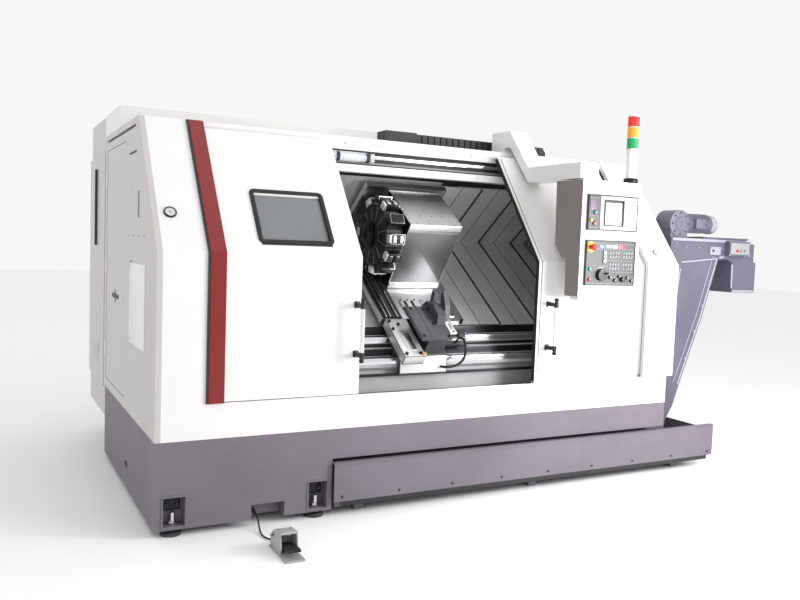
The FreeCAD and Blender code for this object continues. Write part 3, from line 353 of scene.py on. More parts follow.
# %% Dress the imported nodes
WARDROBE = (
    (white, "base_skirt", "inner_front_panels", "left_corner_cover", "left_door",
     "right_door", "right_end_cover", "roof_cover", "overhead_arm", "pendant_body"),
    # Painted shade: these left and rear sheets wear the darkened copy of the enclosure white.
    (painted_shade_white, "back_cover", "left_end_cover", "left_end_door", "rear_cabinet",
     "rear_cabinet_door"),
    (base_violet, "bed_base", "tank_front_panel", "coolant_tank"),
    (conveyor_violet, "conveyor_casing"),
    (motor_violet, "conveyor_drive"),
    (trim_red, "red_trim"),
    (casting_grey, "slant_bed", "headstock", "tailstock_body"),
    (casting_dark, "steady_rest_body", "steady_arm_front", "steady_arm_rear"),
    (cover_steel, "way_cover_1", "way_cover_2", "way_cover_3", "way_cover_4",
     "way_cover_left"),
    (housing_steel, "saddle", "turret_housing"),
    (turned_steel, "spindle", "chuck_body", "tailstock_quill", "live_centre"),
    (ground_steel, "chuck_jaw_1", "chuck_jaw_2", "chuck_jaw_3", "tool_holders"),
    (black_oxide, "turret_disc"),
    (black_plastic, "cable_chain", "left_door_handle", "right_door_handle", "cable_gland",
     "handwheel", "feed_knob"),
    (window_glass, "left_window"),
    (lamp_glass, "work_lamp"),
    (panel_black, "operator_panel"),
    (stop_red, "e_stop"),
    (key_white, "start_button", "hold_button"),
    (white, "signal_tower"),
    (dark_iron, "leveling_pads"),
    (pedal_grey, "pedal_hood"),
    (black_oxide, "pedal_flap"),
    (rubber, "pedal_cable", "steady_hose"),
)


def dress(node, material):
    """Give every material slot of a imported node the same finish."""
    mesh = nodes[node].data
    if not mesh.materials:
        mesh.materials.append(material)
    for index in range(len(mesh.materials)):
        mesh.materials[index] = material


for row in WARDROBE:
    for node_name in row[1:]:
        dress(node_name, row[0])
print(sum(len(row) - 1 for row in WARDROBE), "of", len(nodes), "nodes dressed")

# %% [markdown]
# ## The pedal's cable
#
# The foot switch hangs on a rubber cable that leaves the gland in the base, drops to the
# floor and runs to the back of the pedal. A cable is one soft curve: a NURBS line of order
# three whose control points are the places where a hand would lay it.

# %% Pedal cable
CABLE_POINTS = ((0.545, 0.046, 0.066), (0.545, 0.012, 0.066), (0.543, -0.026, 0.050),
                (0.538, -0.064, 0.024), (0.530, -0.106, 0.010), (0.526, -0.154, 0.006),
                (0.534, -0.200, 0.006), (0.550, -0.236, 0.009), (0.562, -0.262, 0.016),
                (0.565, -0.292, 0.022))
CABLE_DIAMETER = 0.009


def soft_line(name, points, diameter, material, body):
    """A round cord whose centre line is an order-three NURBS curve through a route."""
    curve = bpy.data.curves.new(name, "CURVE")
    curve.dimensions = "3D"
    curve.resolution_u = 10
    curve.bevel_depth = diameter / 2
    curve.bevel_resolution = 4
    curve.use_fill_caps = True
    spline = curve.splines.new("NURBS")
    spline.points.add(len(points) - 1)
    for spot, point in zip(spline.points, points):
        spot.co = (*at(*point), 1)
    spline.order_u = 3
    spline.use_endpoint_u = True
    curve.materials.append(material)
    piece = bpy.data.objects.new(name, curve)
    bpy.context.scene.collection.objects.link(piece)
    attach(piece, body)
    return piece


pedal_lead = soft_line("pedal_lead", CABLE_POINTS, CABLE_DIAMETER, rubber, "machine")
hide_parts("pedal_cable")

# %% [markdown]
# The steady rest's hose loops from its cylinder's fitting down to its foot and stays on the
# slide, so it is one curve of the same kind with a stiffer bend.

# %% Steady rest hose
HOSE_POINTS = ((1.900, 0.168, 0.975), (1.900, 0.136, 0.975), (1.905, 0.116, 0.945),
               (1.908, 0.112, 0.895), (1.893, 0.108, 0.845), (1.850, 0.108, 0.812),
               (1.803, 0.108, 0.802), (1.760, 0.122, 0.800), (1.760, 0.160, 0.800))
HOSE_DIAMETER = 0.016

hose = soft_line("steady_hose_line", HOSE_POINTS, HOSE_DIAMETER, rubber, "steady_rest")
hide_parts("steady_hose")

# %% [markdown]
# ## Shapes from numpy
#
# Almost every small piece is a stack of closed rings: a bolt head is circles, a cover plate
# is rounded rectangles, a gasket is rounded rectangles that turn back on themselves. So one
# function, `skin`, joins a stack of rings into a closed surface, and the others only work
# out where the rings lie, as whole arrays.

# %% Ring and skin helpers
def skin(rings, wrap=False):
    """Surface through a stack of rings (rows, points, 3): quads join each ring to the next,
    and the first and last ring are capped, or joined to each other when wrap is true."""
    rows, count = rings.shape[:2]
    index = np.arange(rows * count).reshape(rows, count)
    upper = np.roll(index, -1, axis=0) if wrap else index[1:]
    lower = index if wrap else index[:-1]
    quads = np.stack([lower, np.roll(lower, -1, axis=1), np.roll(upper, -1, axis=1), upper],
                     axis=-1).reshape(-1, 4).tolist()
    caps = [] if wrap else [index[0, ::-1].tolist(), index[-1].tolist()]
    return rings.reshape(-1, 3), quads + caps


def rounded_rectangle(width, height, radius, steps=5):
    """Anticlockwise outline: four quarter circles of the radius about the inset corners."""
    radius = max(1e-5, min(radius, width / 2 - 1e-5, height / 2 - 1e-5))
    quarter = np.linspace(0, math.pi / 2, steps)
    angles = (quarter[None, :] + np.arange(4)[:, None] * math.pi / 2).ravel()
    side_x = np.repeat([1, -1, -1, 1], steps) * (width / 2 - radius)
    side_y = np.repeat([1, 1, -1, -1], steps) * (height / 2 - radius)
    return np.stack([side_x + radius * np.cos(angles), side_y + radius * np.sin(angles)], -1)


def stack(outline_of, rows):
    """Rings from (inset, height) rows; outline_of gives the outline at an inset."""
    rings = []
    for inset, height in rows:
        flat = outline_of(inset)
        rings.append(np.column_stack([flat, np.full(len(flat), height)]))
    return np.array(rings)


print("two stacked squares make", len(skin(np.zeros((2, 4, 3)))[1]), "faces")

# %% [markdown]
# A plate and a frame are stacks of rounded rectangles. Each row of the stack is drawn a
# little further in than the one below it, which rounds the rim over without a bevel.

# %% Plates and frames
def plate(width, height, thickness, radius=0.004, edge=0.0015):
    """A flat plate lying on z = 0 whose upper rim is rounded over by edge."""
    def outline(inset):
        """The plate's outline, drawn in by inset."""
        return rounded_rectangle(width - 2 * inset, height - 2 * inset, radius - inset)
    turn = np.linspace(0, math.pi / 2, 4)
    rows = [(0, 0)] + [(edge * (1 - math.cos(a)), thickness - edge * (1 - math.sin(a)))
                       for a in turn]
    return skin(stack(outline, rows))


def frame_part(width, height, band, thickness, radius, edge=0.002):
    """A rectangular frame: outer wall, top and inner wall, joined round underneath."""
    def outline(inset):
        """The frame's outer outline, drawn in by inset."""
        return rounded_rectangle(width - 2 * inset, height - 2 * inset,
                                 max(radius - inset, 0.003))
    rows = [(0, 0), (0, thickness - edge), (edge, thickness), (band - edge, thickness),
            (band, thickness - edge), (band, 0)]
    return skin(stack(outline, rows), wrap=True)


print("a plate has", len(plate(0.1, 0.1, 0.005)[1]), "faces")

# %% [markdown]
# Bolts, rings and knobs come off a lathe, so they are made as a lathe makes them: a profile
# of radius and height, carried round an axis. A bolt's head is the same thing with some of
# its rings drawn as hexagons.

# %% Turned parts
def turned(profile, sides=32, corners=()):
    """Surface of revolution about z through (radius, height) rows.  Rows listed in corners
    are hexagons: their radius is divided by cos of the angle from the nearest flat.  A profile
    that ends where it began is an open ring and gets no caps."""
    angles = np.arange(sides) * 2 * math.pi / sides
    hexagon = 1 / np.cos((angles + math.pi / 6) % (math.pi / 3) - math.pi / 6)
    rings = []
    for row, (radius, height) in enumerate(profile):
        reach = radius * hexagon * math.cos(math.pi / 6) if row in corners else radius
        reach = np.broadcast_to(reach, angles.shape)
        rings.append(np.stack([reach * np.cos(angles), reach * np.sin(angles),
                               np.full(sides, height)], -1))
    closed = profile[0] == profile[-1]
    return skin(np.array(rings[:-1] if closed else rings), wrap=closed)


def cap_screw(radius, height):
    """Socket-head screw: a chamfered cylinder with a hexagonal well in its top."""
    return turned([(radius, 0), (radius, height * 0.82), (radius * 0.86, height),
                   (radius * 0.56, height), (radius * 0.54, height * 0.35)], 24, (3, 4))


def pan_screw(radius, height):
    """Domed screw head: radius falls as the cosine of the way up."""
    lift = np.linspace(0, 1, 5)
    return turned([(radius * math.cos(t * 1.25), height * math.sin(t * 1.57)) for t in lift],
                  20)


def washer(inner, outer, thickness, sides):
    """A flat ring: its profile is a rectangle between two radii."""
    return turned([(inner, 0), (outer, 0), (outer, thickness), (inner, thickness), (inner, 0)],
                  sides)


def hex_bolt(radius, height):
    """A plain hexagonal bolt head."""
    return turned([(radius, 0), (radius, height), (0, height)], 6, (0, 1))


print("a bolt head has", len(hex_bolt(0.01, 0.01)[1]), "faces")

# %% [markdown]
# A tube is a circle carried along a path, and a bar an outline pushed along X. Then each part
# is turned and carried to its place, and parts of one finish are joined.

# %% Tubes, bars and placing
def pipe(points, radius, sides=16):
    """Round tube: a circle carried along a path, square to each of its tangents."""
    path = np.array(points, float)
    tangent = np.gradient(path, axis=0)
    tangent /= np.linalg.norm(tangent, axis=1)[:, None]
    helper = np.array([0.31, 0.47, 0.83])
    side = np.cross(tangent, helper)
    side /= np.linalg.norm(side, axis=1)[:, None]
    across = np.cross(tangent, side)
    angles = np.arange(sides) * 2 * math.pi / sides
    ring = np.cos(angles)[None, :, None] * side[:, None] \
        + np.sin(angles)[None, :, None] * across[:, None]
    return skin(path[:, None] + radius * ring)


def prism_x(outline, start, end):
    """A straight bar along x whose (y, z) outline runs anticlockwise seen from +x."""
    flat = np.array(outline, float)
    rings = [np.column_stack([np.full(len(flat), x), flat]) for x in (start, end)]
    return skin(np.array(rings))


def set_at(part, origin, x_axis=(1, 0, 0), normal=(0, 0, 1)):
    """Turn a part so that its x and z follow two directions, then carry it to a place."""
    spots, faces = part
    z_axis = np.array(normal, float) / np.linalg.norm(normal)
    x_axis = np.array(x_axis, float) - np.dot(x_axis, z_axis) * z_axis
    x_axis /= np.linalg.norm(x_axis)
    axes = np.array([x_axis, np.cross(z_axis, x_axis), z_axis])
    return spots @ axes + np.array(origin), faces


def join_pieces(parts):
    """Put several parts of one finish into one: faces are renumbered by what came before."""
    spots = np.concatenate([part[0] for part in parts])
    starts = np.cumsum([0] + [len(part[0]) for part in parts[:-1]])
    faces = [[int(start) + corner for corner in face]
             for start, part in zip(starts, parts) for face in part[1]]
    return spots, faces


def many(part, places, normal, x_axis=(1, 0, 0)):
    """The same part at several places, facing one way."""
    return join_pieces([set_at(part, place, x_axis, normal) for place in places])


print("a tube of two rings has", len(pipe([(0, 0, 0), (0, 0, 1)], 0.01)[1]), "faces")

# %% [markdown]
# A finished piece is one mesh with a slot for each of its finishes, and it rides on a body of
# the machine. Its edges are sharp only where two faces turn by more than 38 degrees, so a
# turned part stays smooth round its axis and crisp at its rims.

# %% Making a piece
SMOOTH_BELOW = math.radians(38)
made_triangles = {}


def make(name, body, parts):
    """One finished piece: parts is a list of (surface, material) pairs in frame places."""
    mesh = bpy.data.meshes.new(name)
    spots, faces = join_pieces([surface for surface, _ in parts])
    mesh.from_pydata(spots.tolist(), [], faces)
    numbers = []
    for number, (surface, material) in enumerate(parts):
        mesh.materials.append(material)
        numbers += [number] * len(surface[1])
    mesh.polygons.foreach_set("material_index", numbers)
    mesh.polygons.foreach_set("use_smooth", [True] * len(mesh.polygons))
    mesh.set_sharp_from_angle(angle=SMOOTH_BELOW)
    mesh.update()
    piece = bpy.data.objects.new(name, mesh)
    bpy.context.scene.collection.objects.link(piece)
    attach(piece, body)
    made_triangles[name] = sum(len(face) - 2 for face in faces)


AXIS_X = (1, 0, 0)
FRONT = (0, -1, 0)
LEFT = (-1, 0, 0)
LEAN_OUT = (0, -math.cos(LEAN), math.sin(LEAN))
LEAN_UP = (0, math.sin(LEAN), math.cos(LEAN))
print("shape helpers ready")

# %% [markdown]
# ## Window
#
# The left door's window is a sheet of safety glass held in a thick rubber gasket. The gasket
# covers the sharp corners of the cut, so its own corners are round. A curve with a bevel
# would do, but a frame of stacked rings keeps its inner lip square to the glass.

# %% Window gasket
door_high = machine_box("left_door")[1]
WINDOW_SIZE = (0.410, 0.344)
WINDOW_EDGE = 0.165
WINDOW_LOW = KNEE + 0.068
window_x = door_high[0] - WINDOW_EDGE - WINDOW_SIZE[0] / 2
window_middle = on_lean(window_x, WINDOW_LOW) + WINDOW_SIZE[1] / 2 * np.array(LEAN_UP)
gasket = frame_part(WINDOW_SIZE[0] + 0.026, WINDOW_SIZE[1] + 0.026, 0.024, 0.009, 0.030, 0.003)
inner_lip = frame_part(WINDOW_SIZE[0] - 0.006, WINDOW_SIZE[1] - 0.006, 0.009, 0.004, 0.022,
                       0.0012)
sunk = window_middle - 0.006 * np.array(LEAN_OUT)
make("window_gasket", "left_door",
     [(set_at(gasket, window_middle, AXIS_X, LEAN_OUT), rubber),
      (set_at(inner_lip, sunk, AXIS_X, LEAN_OUT), black_plastic)])
print("window", WINDOW_SIZE)

# %% [markdown]
# ## Bent strips on the front
#
# The front is upright to the knee and leans back above it, and several strips follow that
# bend: the shadow strip beside the red trim, the rubber seals on the doors' meeting edges
# and the grey strip by the right cover. Each is one outline pushed along X. A bar could be
# bent by a modifier, but the lean is a single angle, so six points give the bend exactly.

# %% Seals and strips
def front_outline(outer, inner, low, high):
    """Outline of a strip between two depths behind the front face, bent at the knee."""
    def knee_at(depth):
        """Height of the bend in a face that lies depth behind the front."""
        return KNEE - depth * math.tan(LEAN / 2)

    def lean_at(depth, height):
        """Y of the leaning face that lies depth behind the front, at a height."""
        return (height - KNEE) * math.tan(LEAN) + depth / math.cos(LEAN)
    return [(outer, low), (inner, low), (inner, knee_at(inner)), (lean_at(inner, high), high),
            (lean_at(outer, high), high), (outer, knee_at(outer))]


def front_strip(start, end, outer, inner, low, high):
    """A bent strip in the frame, from one x to another."""
    spots, faces = prism_x(front_outline(outer, inner, low, high), start, end)
    return spots + CORNER, faces


trim_low, trim_high = machine_box("red_trim")
right_low, right_high = machine_box("right_door")
cover_low = machine_box("right_end_cover")[0]
SEAL = 0.0022
make("trim_shadow_strip", "machine",
     [(front_strip(trim_low[0] - 0.012, trim_low[0], -0.011, 0.0, 0.687, 2.205), black_plastic),
      (front_strip(trim_high[0], trim_high[0] + 0.0025, 0.004, 0.030, 0.69, 2.17), rubber)])
make("left_door_seal", "left_door",
     [(front_strip(door_high[0], door_high[0] + SEAL, 0.002, 0.030, 0.70, 2.15), rubber)])
make("right_door_seal", "right_door",
     [(front_strip(right_low[0] - SEAL, right_low[0], 0.002, 0.030, 0.70, 2.15), rubber),
      (front_strip(right_low[0] + 0.020, right_low[0] + 0.024, -0.0012, 0.004, 0.70, 2.15),
       black_plastic)])
strip_grey = finish("strip_grey", (0.27, 0.27, 0.28), 0.45, grain_scale=400, wander=0.04)
make("side_strip", "machine",
     [(front_strip(right_high[0] + 0.004, cover_low[0] - 0.002, 0.030, 0.044, 0.70, 1.99),
       strip_grey)])
print("strips follow the knee at", KNEE)

# %% [markdown]
# ## Door handles
#
# A handle is a black bar on two posts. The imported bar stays; the finish adds the round end
# caps, the collars at the posts, their flanges and the screws that hold them. Bevelled
# cylinders would do too, but turned profiles give the same caps with fewer faces.

# %% Handle fittings
def handle_fittings(node, body):
    """End caps, collars and foot flanges for an upright bar handle."""
    low, high = machine_box(node)
    x = (low[0] + high[0]) / 2
    y = low[1] + 0.012
    cap = turned([(0.0126, 0), (0.0135, 0.002), (0.0135, 0.012), (0.010, 0.017), (0.002, 0.018)],
                 28)
    collar = turned([(0.0122, 0), (0.0145, 0.002), (0.0145, 0.026), (0.0122, 0.028)], 28)
    flange = plate(0.034, 0.040, 0.005, 0.008)
    screw = cap_screw(0.0035, 0.003)
    post_heights = (low[2] + 0.036, high[2] - 0.036)
    parts = [(set_at(cap, at(x, y, high[2] - 0.012), AXIS_X, (0, 0, 1)), rubber),
             (set_at(cap, at(x, y, low[2] + 0.012), AXIS_X, (0, 0, -1)), rubber)]
    parts += [(set_at(collar, at(x, y, z - 0.014)), black_plastic) for z in post_heights]
    parts += [(set_at(flange, at(x, 0.0, z), AXIS_X, FRONT), black_plastic)
              for z in post_heights]
    parts += [(many(screw, [at(x, -0.005, z + side) for side in (-0.016, 0.016)], FRONT),
               ground_steel) for z in post_heights]
    make(f"{node}_fittings", body, parts)


handle_fittings("left_door_handle", "left_door")
handle_fittings("right_door_handle", "right_door")
print("handles fitted")

# %% [markdown]
# ## Left end
#
# The end wall carries small things that tell its scale: an access plate with a screw in each
# corner, a row of dark screws, plain marks, and a pressure gauge on the leaning corner. The
# end door has a latch plate with a round lock, and three hinge knuckles. The gauge is turned
# like the real one: a bezel and a pale dial, with ticks round it and one needle.

# %% Gauge and end wall fittings
gauge_place = on_lean(0.092, 1.667)
bezel = turned([(0.033, 0), (0.034, 0.006), (0.032, 0.010), (0.028, 0.010), (0.0275, 0.006)], 40)
dial = turned([(0.0272, 0.0055), (0.0270, 0.0066)], 40)
needle = plate(0.003, 0.022, 0.0012, 0.0012, 0.0004)
ticks = [set_at(plate(0.0012, 0.005, 0.0004, 0.0005, 0.0001),
                gauge_place + 0.0068 * np.array(LEAN_OUT)
                + 0.0225 * (math.cos(a) * np.array([1, 0, 0]) + math.sin(a) * np.array(LEAN_UP)),
                np.array([1, 0, 0]) * -math.sin(a) + np.array(LEAN_UP) * math.cos(a), LEAN_OUT)
         for a in np.radians(np.arange(-45, 226, 27))]
make("pressure_gauge", "machine",
     [(set_at(bezel, gauge_place, AXIS_X, LEAN_OUT), black_oxide),
      (set_at(dial, gauge_place, AXIS_X, LEAN_OUT), key_white),
      (join_pieces(ticks), black_plastic),
      (set_at(needle, gauge_place + 0.007 * np.array(LEAN_OUT), (1, 0.55, 0.6), LEAN_OUT),
       black_plastic)])

ACCESS_Y, ACCESS_Z = 0.540, 1.155
access_centre = at(0, ACCESS_Y, ACCESS_Z)
access = plate(0.468, 0.463, 0.003, 0.010, 0.001)
corner_screws = [at(-0.003, ACCESS_Y + dy, ACCESS_Z + dz) for dy in (-0.215, 0.215)
                 for dz in (-0.212, 0.212)]
end_marks = [(0.520, 1.715, 0.030, 0.150), (0.740, 1.390, 0.030, 0.018)]
end_parts = [(set_at(access, access_centre, (0, -1, 0), LEFT), white),
             (many(pan_screw(0.007, 0.004), corner_screws, LEFT, (0, -1, 0)), ground_steel),
             (many(pan_screw(0.006, 0.003), [at(0, y, 1.540) for y in (0.35, 0.51, 0.66, 0.82)],
                   LEFT, (0, -1, 0)), strip_grey),
             (set_at(plate(0.214, 0.012, 0.002, 0.005, 0.0008), at(0, 0.713, 2.011),
                     (0, -1, 0), LEFT), black_plastic)]
end_parts += [(set_at(plate(width, height, 0.004, 0.006), at(0, y, z), (0, -1, 0), LEFT),
               strip_grey) for y, z, width, height in end_marks]
make("end_wall_fittings", "machine", end_parts)

door_hinges = [turned([(0.008, 0), (0.009, 0.002), (0.009, 0.088), (0.008, 0.090)], 20)] * 3
end_high = machine_box("left_end_door")[1]
make("end_door_fittings", "end_door",
     [(set_at(plate(0.250, 0.026, 0.0035, 0.012), at(0.002, 1.315, 1.150), (0, -1, 0), LEFT),
       black_plastic),
      (set_at(turned([(0.017, 0), (0.017, 0.003), (0.013, 0.005), (0.004, 0.005)], 28),
              at(0.002, 1.040, 1.150), (0, -1, 0), LEFT), ground_steel)]
     + [(set_at(knuckle, at(-0.001, end_high[1] + 0.001, z)), white)
        for knuckle, z in zip(door_hinges, (0.72, 1.28, 1.86))])
print("left end fitted")

# %% [markdown]
# ## Rear cabinet
#
# The cabinet's door has a long bar handle with a lock in the middle, a louvred vent low down
# and a screw in each corner, as electrical cabinets do. Its back and the machine's rear wall
# are plain screwed panels, with vents on the cabinet only. Cutting slots would need a boolean
# on the imported sheet; a tipped slat repeated up the sheet looks the same from outside.

# %% Rear cabinet fittings
# The cabinet door's louvres, the back panels and the rear wall panels below wear the enclosure
# white darkened as painted shade.
cabinet_low = machine_box("rear_cabinet_door")[0]


def louvres(count, width, pitch, origin, x_axis, normal):
    """Overlapping slats: each is a plate tipped by the same small angle."""
    tipped = np.array(normal) + 0.55 * np.array([0, 0, 1.0])
    slat = plate(width, pitch * 0.9, 0.0025, 0.003, 0.0008)
    places = [np.array(origin) + np.array([0, 0, pitch * index]) for index in range(count)]
    return join_pieces([set_at(slat, place, x_axis, tipped) for place in places])


bar = plate(0.030, 0.550, 0.016, 0.010, 0.006)
make("cabinet_door_fittings", "cabinet_door",
     [(set_at(bar, at(cabinet_low[0], 2.200, 1.735), (0, -1, 0), LEFT), black_plastic),
      (set_at(turned([(0.012, 0), (0.012, 0.004), (0.009, 0.006), (0.003, 0.006)], 24),
              at(cabinet_low[0] - 0.016, 2.200, 1.735), (0, -1, 0), LEFT), ground_steel),
      (louvres(9, 0.30, 0.016, at(cabinet_low[0], 2.19, 0.62), (0, -1, 0), LEFT), painted_shade_white),
      (many(pan_screw(0.006, 0.003), [at(cabinet_low[0], y, z) for y in (1.84, 2.54)
                                      for z in (0.53, 2.05)], LEFT, (0, -1, 0)), ground_steel)])
back_low, back_high = machine_box("rear_cabinet")
BACK = (0, 1, 0)
back_panels = [set_at(plate(0.66, 1.86, 0.003, 0.008, 0.001),
                      at(back_low[0] + 0.385 + shift, back_high[1], 1.31), (-1, 0, 0), BACK)
               for shift in (0, 0.715)]
make("cabinet_back_panels", "machine",
     [(join_pieces(back_panels), painted_shade_white),
      (louvres(14, 0.34, 0.018, at(0.40, back_high[1] + 0.003, 1.90), (-1, 0, 0), BACK),
       painted_shade_white),
      (louvres(14, 0.34, 0.018, at(1.115, back_high[1] + 0.003, 0.55), (-1, 0, 0), BACK),
       painted_shade_white),
      (many(pan_screw(0.006, 0.003), [at(x, back_high[1] + 0.003, z)
                                      for x in (0.09, 0.71, 0.80, 1.42)
                                      for z in (0.41, 1.31, 2.21)], BACK), ground_steel)])
rear_high = machine_box("back_cover")[1]
rear_panels = [set_at(plate(0.60, 1.42, 0.003, 0.010, 0.001),
                      at(x, rear_high[1], 1.33), (-1, 0, 0), BACK) for x in (1.86, 2.50, 3.14)]
make("rear_wall_panels", "machine",
     [(join_pieces(rear_panels), painted_shade_white),
      (many(pan_screw(0.006, 0.003), [at(x + side, rear_high[1] + 0.003, z)
                                      for x in (1.86, 2.50, 3.14) for side in (-0.28, 0.28)
                                      for z in (0.66, 1.33, 2.00)], BACK), ground_steel)])
print("cabinet and rear wall fitted")

# %% [markdown]
# ## Roof and header
#
# Over the opening the doors hang from a rail between two header beams. A black liner lies in the
# gap between them as painted shade, a bright rail and a thinner grey one run in it, and both beams
# show rows of screws. The lamp is held by two rings. The roof's sheets show their seams, screws
# and two lifting eyes, and an eye is half a circle of pipe.

# %% Header rail, lamp clamps and roof fittings
roof_high = machine_box("roof_cover")[1]
HEADER_X, HEADER_Y = 1.823, 0.575
rail = plate(2.86, 0.022, 0.010, 0.004, 0.002)
gap_shade_liner = plate(2.90, 0.094, 0.002, 0.002, 0.0005)
header_parts = [
    # Painted shade: a black sheet that darkens the gap between the header beams.
    (set_at(gap_shade_liner, at(HEADER_X, 0.600, 2.0775), AXIS_X, FRONT), black_plastic),
    (set_at(rail, at(HEADER_X, 0.598, 2.090), AXIS_X, FRONT), guideway_steel),
    (set_at(plate(2.86, 0.012, 0.014, 0.004, 0.002), at(HEADER_X, 0.598, 2.050), AXIS_X, FRONT),
     strip_grey),
    (many(cap_screw(0.009, 0.007), [at(x, HEADER_Y, 2.165) for x in np.arange(0.55, 3.3, 0.235)],
          FRONT), ground_steel),
    (many(pan_screw(0.006, 0.003), [at(x, 0.520, 2.008) for x in np.arange(0.65, 3.2, 0.31)],
          FRONT), ground_steel)]
make("header_rail", "machine", header_parts)
lamp_low, lamp_high = machine_box("work_lamp")
clamp_ring = turned([(0.0245, 0), (0.030, 0.002), (0.030, 0.020), (0.0245, 0.022)], 32)
make("lamp_clamps", "machine",
     [(set_at(clamp_ring, at(x, 0.548, 2.078), (0, 1, 0), AXIS_X), black_plastic)
      for x in (lamp_low[0] + 0.026, lamp_high[0] - 0.050)]
     + [(set_at(plate(0.24, 0.060, 0.004, 0.004), at((lamp_low[0] + lamp_high[0]) / 2, 0.585,
                                                     2.085), AXIS_X, FRONT), key_white)])
roof_screws = [at(x, y, roof_high[2]) for x in np.arange(0.12, 3.3, 0.4)
               for y in (1.25, 1.72)]
roof_seams = [set_at(plate(0.006, 0.58, 0.0012, 0.002, 0.0004), at(x, 1.49, roof_high[2]))
              for x in (0.83, 1.65, 2.47)]
eyes = [pipe([at(x, 1.49 + 0.03 * math.cos(a), roof_high[2] + 0.004 + 0.03 * math.sin(a))
              for a in np.linspace(0, math.pi, 13)], 0.007) for x in (0.30, 3.00)]
make("roof_fittings", "machine",
     [(many(pan_screw(0.008, 0.004), roof_screws, (0, 0, 1)), ground_steel),
      (join_pieces(roof_seams), strip_grey), (join_pieces(eyes), black_oxide)])
print("header and roof fitted")

# %% [markdown]
# ## Right cover, skirt and base
#
# The right cover has a round lock. The skirt carries small screws, the sill a bright wear
# strip. The base shows a jacking bolt and a bolted plate in each framed foot pocket, and the
# long tank cover a folded lip, a dark band and a row of screws. One foot pocket is worked
# out, and a loop makes the same one at both places.

# %% Base fittings
jack = turned([(0.022, 0), (0.022, 0.016), (0.018, 0.018), (0.014, 0.018), (0.014, 0.060),
               (0.012, 0.062)], 24, (0, 1, 2))
wing = plate(0.092, 0.060, 0.006, 0.006)
pocket_parts = []
for pocket_x in (0.1035, 0.895):
    pocket_parts += [(set_at(jack, at(pocket_x, 0.040, 0.062)), ground_steel),
                     (set_at(wing, at(pocket_x, 0.0695, 0.155), AXIS_X, FRONT), black_oxide),
                     (many(cap_screw(0.011, 0.010), [at(pocket_x + side, 0.0635, 0.155)
                                                     for side in (-0.028, 0.028)], FRONT),
                      dark_iron),
                     (set_at(frame_part(0.132, 0.172, 0.010, 0.005, 0.012), at(
                         pocket_x, 0.0, 0.134), AXIS_X, FRONT), base_violet)]
make("base_foot_fittings", "machine", pocket_parts)
tank_low, tank_high = machine_box("tank_front_panel")
tank_middle = (tank_low[0] + tank_high[0]) / 2
tank_width = tank_high[0] - tank_low[0]
make("tank_cover_trim", "machine",
     [(set_at(plate(tank_width - 0.02, 0.010, 0.004, 0.004, 0.0015),
              at(tank_middle, tank_low[1], tank_high[2] - 0.012), AXIS_X, FRONT),
       base_violet),
      (set_at(plate(tank_width - 0.10, 0.030, 0.002, 0.004, 0.0008),
              at(tank_middle, -0.024, 0.074), AXIS_X, FRONT), black_plastic),
      (many(cap_screw(0.007, 0.005), [at(x, tank_low[1], 0.115)
                                      for x in np.linspace(tank_low[0] + 0.05,
                                                           tank_high[0] - 0.05, 9)], FRONT),
       dark_iron)])
make("skirt_fittings", "machine",
     [(many(pan_screw(0.006, 0.003), [at(x, 0.0, 0.520)
                                      for x in np.arange(0.45, 3.5, 0.43)], FRONT), white),
      (set_at(plate(1.9, 0.050, 0.0015, 0.004, 0.0006), at(1.745, 0.031, 0.687)),
       guideway_steel)])
lock = turned([(0.020, 0), (0.020, 0.004), (0.017, 0.006), (0.006, 0.006), (0.006, 0.003)], 32)
make("right_cover_lock", "machine",
     [(set_at(lock, on_lean(3.405, 1.55), AXIS_X, LEAN_OUT), black_oxide),
      (set_at(turned([(0.014, 0.0062), (0.012, 0.0072)], 28), on_lean(3.405, 1.55), AXIS_X,
              LEAN_OUT), key_white)])
print("base, skirt and right cover fitted")

# %% [markdown]
# ## Operator pendant
#
# Two framed panels stand on the pendant's face. The upper one is a pale control unit with a
# screen, a row of soft keys and a key block, beside a narrow black column. The lower one
# carries a stop button in a yellow ring, indicator windows, four groups of slanted keys, a
# dial and a row of rotary switches. Everything is a thin plate or a turned knob laid on the
# face, and nothing is lettered. Raised plates are used rather than a drawn image, because
# they catch the light at their rims and still hold up from the side.

# %% Pendant upper panel
FACE = -0.227
PANEL_LEFT, PANEL_RIGHT = 2.538, 2.942


def on_face(x, z, proud=0.0):
    """A place on the pendant's panels, proud metres in front of them."""
    return at(x, FACE - proud, z)


def tile(x0, x1, z0, z1, thickness, proud=0.0, radius=0.002):
    """A flat plate over a rectangle of the panel."""
    return set_at(plate(x1 - x0, z1 - z0, thickness, radius, 0.0006),
                  on_face((x0 + x1) / 2, (z0 + z1) / 2, proud), AXIS_X, FRONT)


def border(x0, x1, z0, z1, band, thickness, proud=0.0):
    """A raised rectangular frame over the panel."""
    return set_at(frame_part(x1 - x0, z1 - z0, band, thickness, 0.004, 0.0008),
                  on_face((x0 + x1) / 2, (z0 + z1) / 2, proud), AXIS_X, FRONT)


